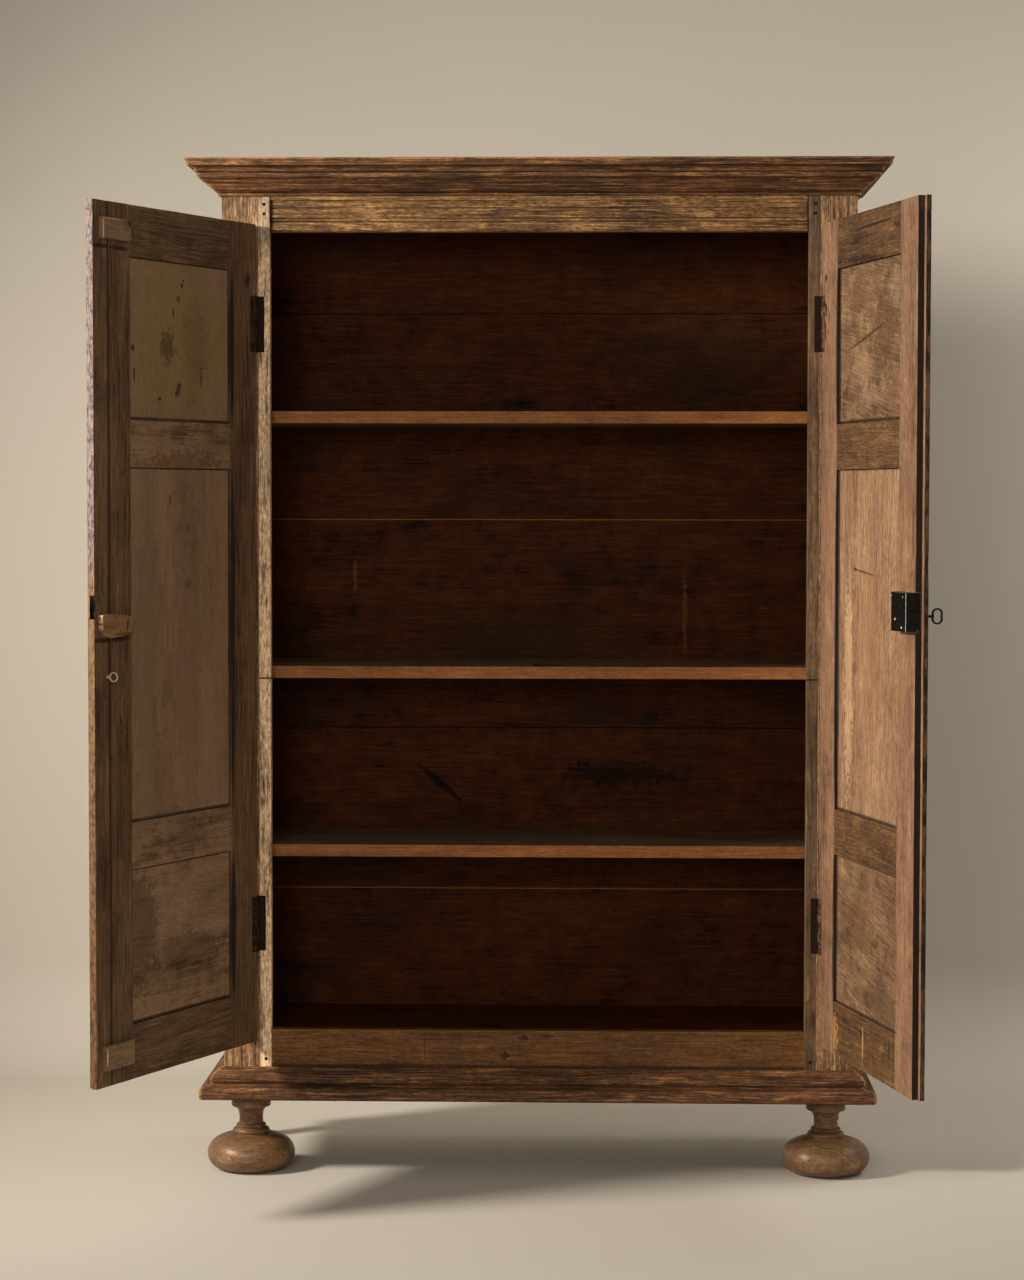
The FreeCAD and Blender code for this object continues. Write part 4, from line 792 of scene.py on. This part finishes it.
class CUPBOARD_OT_inside(bpy.types.Operator):
    """Dark back boards, cupboard floor, cleats and the plank shelves"""
    bl_idname = "cupboard.inside"
    bl_label = "Inside"

    def back_marks(self):
        """Scrapes, a stain, and painted highlights on the upper edges of two boards, where they catch the
        light.
        """
        low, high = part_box("back_boards")
        marks = []
        for across, up, wide, tall, tint, amount, ragged, lean in (
                (-407, 1231, 5, 34, (128, 84, 44), 0.40, 0.7, 0),
                (312, 1152, 6, 98, (112, 70, 30), 0.55, 0.9, 0),
                (-222, 781, 62, 9, (6, 3, 1), 0.85, 0.5, 41), (170, 800, 130, 26, (9, 5, 2), 0.6, 1.0, 0),
                (-60, 1080, 210, 90, (44, 34, 14), 0.5, 1.0, 0),
                (330, 1700, 150, 110, (44, 34, 16), 0.4, 1.0, 0)):
            turn = Vector(Matrix.Rotation(math.radians(-lean), 3, "Y").to_euler("XYZ"))
            centre = FRONT + Vector((across, BACK_FACE, up)) * MM
            marks.append((centre, (wide * MM, MARK_DEPTH, tall * MM), tint, amount, ragged, turn))
        shape = copied("back_boards")
        middle = (low.y + high.y) / 2
        tops = sorted({round(face.calc_center_median().z, 4) for face in shape.faces
                       if face.normal.z > 0.9 and face.calc_center_median().y < middle})
        shape.free()
        # painted highlights: the upper edges of two boards, lighter where they catch the light
        for top in (tops[0], tops[2]):
            centre = Vector((FRONT.x, low.y, top))
            marks.append((centre, (2.0, 10 * MM, 2.2 * MM), (164, 112, 50), 0.85, 0.25, None))
        return marks

    def shelf_wood(self):
        """Fresh wood on the shelves' front edges, and dusty grey wood elsewhere."""
        def build(net):
            fresh = board_look(net, "shelf", "across", Streaks=0.5, Dirt=0.2, Pores=0.3, Rub=0.3, Broad=0.9)
            dusty = board_look(net, "stile", "across", Streaks=0.7, Dirt=0.8, Pores=0.6, Rub=0.2)
            edge = facing(net, (0.0, -1.0, 0.0), 0.3, 0.6)
            return net.mix(edge, dusty["Color"], fresh["Color"]), fresh["Height"], fresh["Roughness"]
        return finish_wood("Shelf wood", build, 0.5)

    def execute(self, context):
        back = plain_wood("Back wood", "inside", "across", gloss=0.1, Streaks=0.5, Dirt=0.6, Rub=0.15,
                          Pores=0.4, Mottle=0.9, marks=self.back_marks())
        board("back_boards", "across", back, 70.0, edge=0.8 * MM)
        board("floor_board", "across", back, 74.0)
        cleat = plain_wood("Cleat wood", "inside", "deep", gloss=0.1)
        board("shelf_cleats", "deep", cleat, 77.0)
        boards(("shelf_upper", "shelf_middle", "shelf_lower"), "across", self.shelf_wood(), 81.0, 2.9,
               erosion=0.5 * MM)
        return {"FINISHED"}


# marks on the left door: along from the hinge edge, up, half width and half height, all in millimetres,
# then tint, amount, raggedness and lean in degrees
LEFT_SEAM = (524, 1115, 4.5, 1400, (48, 22, 13), 0.8, 0.3, 0)
# the first two rows here and on the edge are painted shadows under the top end block and the keeper block
LEFT_STILE_MARKS = (
    (490, 1874, 36, 5, (20, 12, 8), 0.8, 0.4, 0), (490, 1131, 36, 5, (20, 12, 8), 0.8, 0.4, 0),
    (30, 1845, 9, 16, (40, 18, 10), 0.75, 0.9, 0), (488, 977, 3, 12, (14, 8, 6), 0.9, 0.5, 0),
    (487, 955, 2, 8, (14, 8, 6), 0.8, 0.5, 0),
)
# the first two rows are painted shadows under the end block and the keeper, and the last is painted shade
# inside the notch in the free edge
LEFT_EDGE_MARKS = (
    (545, 1874, 32, 5, (20, 12, 8), 0.8, 0.4, 0), (545, 1131, 32, 5, (20, 12, 8), 0.8, 0.4, 0),
    (572, 1195, 18, 21, (14, 9, 6), 0.95, 0.1, 0),
)
LEFT_RAIL_MARKS = (
    (270, 1470, 130, 26, (92, 52, 34), 0.5, 1.0, 0),
)
LEFT_PANEL_MARKS = (
    (290, 1705, 210, 170, (138, 114, 64), 0.45, 0.6, 0),
    (319, 1694, 26, 34, (56, 50, 30), 0.60, 1.0, 0), (267, 1817, 4, 6, (14, 8, 6), 0.95, 0.4, 0),
    (262, 1826, 5, 3, (50, 22, 14), 0.8, 0.6, 0), (281, 1789, 7, 8, (60, 40, 26), 0.6, 0.9, 0),
    (298, 1760, 2.6, 10, (10, 6, 4), 0.95, 0.3, 0), (438, 1688, 6, 6, (28, 16, 12), 0.85, 0.7, 0),
    (434, 1636, 3, 15, (22, 14, 10), 0.85, 0.5, 0), (284, 1612, 8, 15, (58, 28, 18), 0.75, 1.0, 0),
    (277, 1622, 4, 4, (10, 6, 4), 0.95, 0.4, 0), (200, 1639, 2.4, 20, (24, 14, 10), 0.85, 0.5, 0),
    (196, 1658, 12, 2.6, (48, 30, 20), 0.6, 0.6, 0), (347, 1593, 5, 4, (20, 10, 8), 0.85, 0.6, 0),
    (312, 1398, 4, 12, (40, 26, 18), 0.6, 0.6, 10), (250, 1340, 4, 10, (40, 26, 18), 0.5, 0.6, 8),
    (250, 1230, 12, 10, (56, 38, 24), 0.55, 1.0, 0), (300, 700, 30, 90, (58, 40, 26), 0.4, 1.0, 0),
    (395, 1120, 42, 460, (112, 96, 74), 0.40, 0.7, 0),
    (250, 1060, 50, 330, (120, 90, 74), 0.40, 0.9, 0), (330, 830, 40, 120, (112, 80, 62), 0.35, 0.9, 0),
    (220, 1700, 50, 90, (104, 72, 46), 0.35, 0.9, 0),
)
LEFT_LOW_PANEL_MARKS = (
    (420, 560, 60, 130, (40, 26, 14), 0.45, 0.6, 0), (250, 500, 120, 40, (46, 32, 18), 0.4, 0.6, 0),
)
# the rows at along 551.6 and the row along the top edge are painted highlights on the blocks' lit arrises
BLOCK_MARKS = (
    (551.6, 1903, 1.9, 30, (240, 204, 166), 0.9, 0.2, 0),
    (492, 1903, 1.0, 30, (190, 150, 110), 0.5, 0.5, 0),
    (524, 1927, 34, 2.4, (200, 166, 126), 0.6, 0.6, 0), (464, 1922, 9, 7, (30, 20, 12), 0.8, 0.5, 0),
    (551.6, 338, 1.9, 20, (240, 204, 166), 0.9, 0.2, 0), (505, 1878, 60, 6, (60, 40, 24), 0.7, 0.6, 0),
)
# the first row is a painted highlight on the keeper's lit end
KEEPER_MARKS = (
    (560.4, 1158, 1.6, 30, (226, 190, 148), 0.8, 0.2, 0),
    (478, 1160, 3.0, 14, (44, 24, 12), 0.85, 0.8, 14), (490, 1141, 40, 4, (60, 36, 18), 0.6, 0.6, 0),
)


class CUPBOARD_OT_left_door(bpy.types.Operator):
    """Left door in grey brown wood, with its blocks"""
    bl_idname = "cupboard.left_door"
    bl_label = "Left door"

    def execute(self, context):
        beside, across = panel_shadows("left", 90, 9)
        amounts = {"Streaks": 1.2, "Broad": 0.9, "Hairs": 0.8, "Pores": 0.8, "Dirt": 0.6, "Rub": 0.4}
        stile = door_wood("Left stile wood", "left", "up", "stile",
                          marks=(*beside, LEFT_SEAM, *LEFT_STILE_MARKS), **amounts)
        edge = door_wood("Left edge wood", "left", "up", "stile", free=limed_edge,
                         marks=(LEFT_SEAM, *LEFT_EDGE_MARKS), **amounts)
        boards(("left_door_hinge_stile", "left_door_free_stile"), "up", stile, 90.0, 2.2)
        board("left_door_edge_board", "up", edge, 95.0)
        rail = door_wood("Left rail wood", "left", "left", "stile", Streaks=0.9, Hairs=0.8, Pores=0.6,
                         Dirt=0.65, Rub=0.3)
        boards(("left_door_rail_top", "left_door_rail_bottom"), "left", rail, 101.0, 2.2)
        paler = door_wood("Left middle rail wood", "left", "left", "grey", marks=LEFT_RAIL_MARKS, Streaks=0.8,
                          Broad=0.9, Mottle=0.8, Pores=0.5, Dirt=0.9, Rub=0.3)
        board("left_door_mid_rails", "left", paler, 105.4)
        panel = door_wood("Left panel wood", "left", "up", "grey", marks=(*across, *LEFT_PANEL_MARKS),
                          Fibre=0.45, Streaks=0.3, Broad=0.45, Mottle=0.4, Pores=0.2, Dirt=0.3, Rub=0.2,
                          Holes=0.4, Hairs=0.35, Grit=0.4)
        boards(("left_door_panel_top", "left_door_panel_middle"), "up", panel, 111.0, 2.2, edge=PANEL_EDGE)
        low = door_wood("Left low panel wood", "left", "left", "grey", marks=(*across, *LEFT_LOW_PANEL_MARKS),
                        Fibre=0.4, Streaks=0.5, Broad=0.9, Mottle=0.6, Pores=0.3, Dirt=0.7, Rub=0.25)
        board("left_door_panel_bottom", "left", low, 117.0, edge=PANEL_EDGE)
        block = plain_wood("Block wood", "grey", "left", marks=door_marks("left", BLOCK_MARKS), Streaks=0.7,
                           Pores=0.6, Dirt=0.5, Rub=0.8, Holes=1.0)
        board("left_door_end_blocks", "left", block, 121.0, edge=0.8 * MM, erosion=0.4 * MM)
        keeper = plain_wood("Keeper wood", "keeper", "left", marks=door_marks("left", KEEPER_MARKS),
                            Streaks=0.5, Pores=0.6, Dirt=0.5, Rub=0.6, Holes=1.2)
        board("left_door_keeper_block", "left", keeper, 123.2, edge=0.8 * MM, erosion=0.4 * MM)
        return {"FINISHED"}


# marks on the right door, in rows like the left door's
# painted shadow beside the right door's panels, where the hinge stile stands proud of them
RIGHT_PANEL_SHADOW = (108, 1200, 9, 1400, (18, 11, 7), 0.85, 0.10, 0)
RIGHT_STILE_MARKS = (
    (24, 1848, 6, 8, (24, 14, 10), 0.9, 0.8, 0), (26, 1787, 6, 16, (18, 10, 8), 0.95, 0.8, 0),
    (22, 1737, 5, 24, (22, 13, 9), 0.9, 0.9, 0), (48, 1768, 2.5, 14, (40, 22, 16), 0.8, 0.6, 0),
    (60, 1700, 8, 14, (150, 92, 52), 0.5, 0.9, 0), (50, 1690, 3, 12, (90, 44, 34), 0.6, 0.7, 0),
)
RIGHT_RAIL_MARKS = (
    (326, 1930, 125, 2.6, (30, 18, 12), 0.85, 0.4, -1), (260, 1868, 120, 9, (34, 20, 12), 0.7, 1.0, 3),
    (90, 322, 40, 48, (176, 126, 66), 0.70, 0.8, 0), (287, 330, 4, 40, (196, 158, 112), 0.6, 0.5, 0),
    (443, 349, 3.5, 18, (14, 8, 6), 0.9, 0.4, 0),
)
RIGHT_PANEL_MARKS = (
    (272, 1257, 68, 2.4, (48, 30, 20), 0.85, 0.45, 5), (214, 1262, 8, 4, (40, 24, 16), 0.8, 0.6, 0),
    (233, 1178, 4, 17, (70, 44, 28), 0.65, 0.7, 0), (209, 1066, 16, 18, (92, 60, 38), 0.55, 1.0, 0),
    (185, 1011, 18, 13, (64, 42, 28), 0.65, 1.0, 0), (300, 1120, 70, 180, (146, 98, 66), 0.35, 1.0, 0),
    (175, 1030, 26, 210, (206, 168, 126), 0.40, 1.0, 0),
)
RIGHT_LEANING_MARKS = (
    (440, 1798, 40, 46, (176, 146, 110), 0.24, 1.0, 20),
    (250, 1659, 62, 36, (180, 146, 108), 0.24, 1.0, 30),
    (200, 1795, 50, 34, (84, 54, 30), 0.35, 1.0, 0), (420, 1590, 44, 40, (104, 74, 48), 0.30, 1.0, 0),
    (290, 1600, 60, 22, (170, 128, 100), 0.24, 1.0, 0), (382, 1720, 70, 85, (78, 52, 30), 0.60, 1.0, 0),
    (273, 1716, 116, 3.5, (52, 33, 20), 0.75, 0.7, -11), (181, 1851, 13, 11, (90, 54, 28), 0.7, 1.0, 0),
    (210, 1800, 60, 40, (96, 64, 38), 0.4, 1.0, 0), (260, 560, 90, 60, (92, 62, 34), 0.45, 1.0, 0),
    (400, 430, 60, 50, (80, 58, 40), 0.4, 1.0, 0),
)


class CUPBOARD_OT_right_door(bpy.types.Operator):
    """Right door in pinkish tan wood"""
    bl_idname = "cupboard.right_door"
    bl_label = "Right door"

    def execute(self, context):
        beside, across = panel_shadows("right", 97, 6)
        stile = door_wood("Right stile wood", "right", "up", "pink", free=shadowed_edge,
                          marks=(*beside, *RIGHT_STILE_MARKS), Streaks=0.8, Broad=0.9, Mottle=0.8, Pores=0.6,
                          Dirt=0.4, Rub=0.5, Holes=0.6, Hairs=0.8, Grit=0.7)
        boards(("right_door_hinge_stile", "right_door_free_stile"), "up", stile, 130.0, 2.2)
        rail = door_wood("Right rail wood", "right", "right", "brace", marks=RIGHT_RAIL_MARKS, Streaks=0.8,
                         Pores=0.9, Grit=0.9, Dirt=0.7, Rub=0.45, Mottle=0.8)
        boards(("right_door_rail_top", "right_door_rail_bottom", "right_door_mid_rails"), "right", rail,
               141.0, 2.2)
        panel = door_wood("Right panel wood", "right", "up", "tan",
                          marks=(*across, RIGHT_PANEL_SHADOW, *RIGHT_PANEL_MARKS), Fibre=0.7, Streaks=0.6,
                          Pores=0.7, Dirt=0.35, Rub=0.5, Mottle=0.6, Hairs=0.9, Grit=0.8)
        board("right_door_panel_middle", "up", panel, 151.0, edge=PANEL_EDGE)
        leaning = door_wood("Right leaning panel wood", "right", "right", "figure", lean=0.16,
                            marks=(*across, RIGHT_PANEL_SHADOW, *RIGHT_LEANING_MARKS), Fibre=0.6, Streaks=0.25,
                            Pores=0.5, Dirt=1.0, Rub=0.5, Broad=0.9, Mottle=1.1, Hairs=0.7)
        boards(("right_door_panel_top", "right_door_panel_bottom"), "up", leaning, 155.0, 2.2,
               edge=PANEL_EDGE)
        return {"FINISHED"}


# outline of a turned front foot: out from its axis and up from the floor, in millimetres
FOOT_OUTLINE = (
    (0.0, 0.0), (60.0, 0.0), (74.0, 4.0), (85.0, 13.0), (91.0, 26.0), (92.0, 35.0), (89.0, 48.0),
    (81.0, 59.0), (68.0, 67.0), (54.0, 71.5), (43.0, 73.6), (37.6, 74.5), (36.0, 75.2), (36.4, 76.4),
    (38.4, 78.6), (38.8, 81.4), (37.0, 84.4), (33.0, 86.6), (29.2, 87.4), (28.2, 88.0), (28.8, 88.9),
    (31.0, 90.6), (31.2, 92.8), (29.0, 94.6), (26.0, 95.2), (25.2, 96.4), (24.8, 101.0), (24.4, 108.0),
    (24.8, 115.0), (26.2, 121.5), (29.4, 127.0), (34.6, 130.4), (39.4, 131.8), (41.0, 132.4),
    (41.0, 134.0), (41.0, 160.0), (0.0, 160.0),
)


class CUPBOARD_OT_feet(bpy.types.Operator):
    """Turned front feet in waxed wood, and the plain rear feet"""
    bl_idname = "cupboard.feet"
    bl_label = "Feet"

    def execute(self, context):
        steps = context.scene.cupboard_making.turning_steps
        waxed = plain_wood("Waxed foot wood", "foot", "across", coat=0.5, Streaks=0.8, Pores=0.6, Dirt=1.0,
                           Rub=0.7, Holes=1.0, Mottle=0.7, bump=0.5)
        for index, side in enumerate(("left", "right")):
            low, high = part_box("foot_front_" + side)
            middle = (low + high) / 2
            outline = [(middle.x + out * MM, middle.y, up * MM) for out, up in FOOT_OUTLINE]
            shape = spun(outline, (middle.x, middle.y, 0.0), (0.0, 0.0, 1.0), steps)
            bmesh.ops.recalc_face_normals(shape, faces=shape.faces)
            foot = piece("turned_foot_" + side, shape, waxed, "carcass", ["foot_front_" + side],
                         smooth_below=40.0, number=160.0 + index * 1.7)
            foot.modifiers.clear()
            smooth = foot.modifiers.new("Smooth turning", "SUBSURF")
            smooth.levels = 1
            smooth.render_levels = 1
        boards(("foot_rear_left", "foot_rear_right"), "up", hidden_wood(), 165.0, 1.0, edge=0.6 * MM)
        return {"FINISHED"}


# rivets, as shares of the lock case's width from the free side, and of its height
RIVET_PLACES = ((0.93, 0.89), (0.15, 0.88), (0.67, 0.31), (0.22, 0.11))


class CUPBOARD_OT_ironwork(bpy.types.Operator):
    """Hinges, nails, lock, bolt, key, screw eye and hook"""
    bl_idname = "cupboard.ironwork"
    bl_label = "Ironwork"

    def rivets(self, radius):
        """Domed rivets, rubbed bright, on the inner face of the lock's case; the lower two are pale and
        nearly matt, also standing for glints as painted highlights.
        """
        back = Matrix.Rotation(-TURNS["right"], 3, "Z")
        corners = [back @ vert.co for vert in NODES["right_door_lock_case"].data.vertices]
        low = Vector([min(corner[axis] for corner in corners) for axis in range(3)])
        high = Vector([max(corner[axis] for corner in corners) for axis in range(3)])
        sunk = 0.2 * MM
        rise = 0.55 * radius
        colours = bpy.context.scene.cupboard_iron
        # the last two rivets are pale and nearly matt: rubbed bright, and painted glints
        finishes = (iron("Brassy rivet", 0.9, tuple(colours.brass)), iron("Dull rivet", 0.35),
                    iron("Bright rivet", 1.0, metal=0.3), iron("Bright rivet", 1.0, metal=0.3))
        for number, ((along, up), finish) in enumerate(zip(RIVET_PLACES, finishes), start=1):
            centre = Vector((low.x + (high.x - low.x) * along, high.y - sunk, low.z + (high.z - low.z) * up))
            turns = [math.pi / 2 * index / 6 for index in range(7)]
            outline = [centre + Vector((radius * math.cos(turn), rise * math.sin(turn), 0.0))
                       for turn in turns]
            shape = spun(outline, centre, (0.0, 1.0, 0.0), 20)
            rim = [edge for edge in shape.edges if len(edge.link_faces) == 1]
            bmesh.ops.edgeloop_fill(shape, edges=rim)
            bmesh.ops.recalc_face_normals(shape, faces=shape.faces)
            bmesh.ops.transform(shape, matrix=Matrix.Rotation(TURNS["right"], 4, "Z"), verts=shape.verts)
            piece("lock_rivet_" + str(number), shape, finish, "right_door", (), smooth_below=50.0)

    def execute(self, context):
        forged = iron()
        rusty = iron("Rusted iron", 1.0, shade(40, 27, 20), arris=0.1, shine=0.15, metal=0.1, dry=0.38)
        for node in ("hinge_frame_leaves", "hinge_pins", "strip_nails"):
            fitting(node, rusty)
        for side, tint in (("left", shade(70, 51, 36)), ("right", shade(112, 79, 58))):
            leaf = iron("Leaf iron, " + side, 1.0, tint, arris=0.1, shine=0.15, metal=0.0, dry=0.38,
                        patches=0.85)
            fitting(side + "_door_hinge_leaves", leaf)
        for node in ("hook_pin", "shelf_hook"):
            fitting(node, forged)
        fitting("key", iron("Key iron", arris=0.1, metal=0.2, dry=0.3))
        fitting("lock_bolt", iron("Bolt iron", arris=0.0))
        # the case's edges stay sharp where the bolt comes out
        ends = [vert.co for vert in NODES["lock_bolt"].data.vertices]
        mouth = sum(ends, Vector()) / len(ends) - ALONG["right"] * 30 * MM
        case = iron("Lock iron", arris=0.6, shine=0.75)
        fitting("right_door_lock_case", case, width=0.6 * MM, keep_off=(mouth, 16 * MM))
        # the screw eye's pale, nearly matt tint is painted light: it stands in the door's shade but is meant
        # to look lit
        fitting("left_door_screw_eye", iron("Bright iron", 1.0, shade(204, 184, 158), metal=0.2))
        self.rivets(context.scene.cupboard_making.dome)
        return {"FINISHED"}


# the photograph's viewing angle: the camera's place from FRONT in metres, and its turn in degrees
CAMERA_PLACE = (0.1262, -6.0305, 1.3927)
CAMERA_TURN = (87.32, -0.08, 1.71)


class CUPBOARD_OT_stage(bpy.types.Operator):
    """Pale floor, a backdrop that is clear from behind, soft lamps and the camera"""
    bl_idname = "cupboard.stage"
    bl_label = "Stage"

    def sheets(self, wall):
        """The floor, and the backdrop that curves up to a wall at the depth given."""
        half_width, reach, height, cove = 7.0, 8.5, 5.0, 0.25
        shape = bmesh.new()
        turns = [math.pi / 2 * index / 8 for index in range(9)]
        rising = [(wall - cove + cove * math.sin(turn), cove - cove * math.cos(turn)) for turn in turns]
        for outline in ([(-reach, 0.0), (reach, 0.0)], [*rising, (wall, height)]):
            points = [shape.verts.new((-half_width, deep, high)) for deep, high in outline]
            edges = [shape.edges.new(pair) for pair in zip(points, points[1:])]
            made = bmesh.ops.extrude_edge_only(shape, edges=edges)["geom"]
            moved = [item for item in made if isinstance(item, bmesh.types.BMVert)]
            bmesh.ops.translate(shape, verts=moved, vec=(2 * half_width, 0.0, 0.0))
        # the floor faces up and the wall faces the front
        for face in shape.faces:
            face.normal_update()
            if face.normal.z - face.normal.y < 0:
                face.normal_flip()
        return shape

    def plaster(self, colour):
        """Matt pale plaster, which is clear to the camera from behind."""
        made, net = new_finish("Pale plaster")
        clouds = net.noise(coordinates(net)["Object"], 0.9, 3.0, 0.5)
        tone = net.mix(net.span(clouds, 0.3, 0.7, 0.0, 0.12), colour, shade(182, 172, 154))
        shader = net.add("BsdfPrincipled", {"Base Color": tone})
        shader.inputs["Roughness"].default_value = 0.85
        behind = net.maths("MULTIPLY", net.add("NewGeometry").outputs["Backfacing"],
                           net.add("LightPath").outputs["Is Camera Ray"])
        clear = net.add("BsdfTransparent")
        net.show(net.add("MixShader", {0: behind, 1: shader.outputs[0], 2: clear.outputs[0]}))
        return made

    def lamp(self, name, place, aim, size, power, colour=WARM, spread=180.0):
        light = bpy.data.lights.new(name, "AREA")
        light.shape = "DISK"
        light.size = size
        light.energy = power
        light.color = colour
        light.spread = math.radians(spread)
        thing = bpy.data.objects.new(name, light)
        bpy.context.scene.collection.objects.link(thing)
        thing.location = Vector(place) + FRONT
        thing.rotation_euler = (Vector(aim) - Vector(place)).to_track_quat("-Z", "Y").to_euler()

    def camera(self, lens):
        view = bpy.data.cameras.new("front_view")
        view.sensor_width = 36.0
        view.lens = lens
        made = bpy.data.objects.new("front_view", view)
        bpy.context.scene.collection.objects.link(made)
        made.location = Vector(CAMERA_PLACE) + FRONT
        made.rotation_euler = Euler([math.radians(turn) for turn in CAMERA_TURN])
        bpy.context.scene.camera = made

    def execute(self, context):
        stage = context.scene.cupboard_stage
        shape = self.sheets(stage.wall_place + FRONT.y)
        mesh = bpy.data.meshes.new("backdrop")
        shape.to_mesh(mesh)
        shape.free()
        mesh.shade_smooth()
        mesh.materials.append(self.plaster(tuple(stage.floor)))
        backdrop = bpy.data.objects.new("backdrop", mesh)
        context.scene.collection.objects.link(backdrop)
        self.lamp("key_lamp", place=(-3.4, -1.55, 2.4), aim=(0.0, 0.0, 1.1), size=0.7, power=stage.key_power,
                  colour=(1.0, 0.93, 0.83), spread=74.0)
        self.lamp("fill_lamp", place=(-0.9, -5.6, 2.2), aim=(0.0, 0.0, 1.0), size=1.6, power=stage.fill_power)
        self.lamp("side_lamp", place=(2.7, 0.5, 2.7), aim=(1.5, 1.2, 0.9), size=1.4, power=stage.side_power,
                  spread=100.0)
        world = bpy.data.worlds.new("Room")
        world.use_nodes = True
        sky = world.node_tree.nodes["Background"]
        sky.inputs["Color"].default_value = (*WARM, 1.0)
        sky.inputs["Strength"].default_value = stage.sky
        context.scene.world = world
        self.camera(stage.lens)
        context.scene.view_settings.view_transform = "Standard"
        return {"FINISHED"}


PIECES = (CUPBOARD_OT_carcass, CUPBOARD_OT_mouldings, CUPBOARD_OT_inside, CUPBOARD_OT_left_door,
          CUPBOARD_OT_right_door, CUPBOARD_OT_feet, CUPBOARD_OT_ironwork, CUPBOARD_OT_stage)


class CUPBOARD_PT_panel(bpy.types.Panel):
    """Sizes, colours and pieces of the cupboard"""
    bl_idname = "CUPBOARD_PT_panel"
    bl_label = "Cupboard"
    bl_space_type = "VIEW_3D"
    bl_region_type = "UI"
    bl_category = "Cupboard"

    def draw(self, context):
        for name, group in GROUPS.items():
            box = self.layout.box()
            for item in group.__annotations__:
                box.prop(getattr(context.scene, name), item)
        for made in PIECES:
            self.layout.operator(made.bl_idname)


def register():
    for made in (*GROUPS.values(), *PIECES, CUPBOARD_PT_panel):
        bpy.utils.register_class(made)
    for name, group in GROUPS.items():
        setattr(bpy.types.Scene, name, bpy.props.PointerProperty(type=group))


def unregister():
    for name in GROUPS:
        delattr(bpy.types.Scene, name)
    for made in reversed((*GROUPS.values(), *PIECES, CUPBOARD_PT_panel)):
        bpy.utils.unregister_class(made)


def main():
    register()
    for made in PIECES:
        getattr(bpy.ops.cupboard, made.bl_idname.split(".")[1])()


if __name__ == "__main__":
    main()
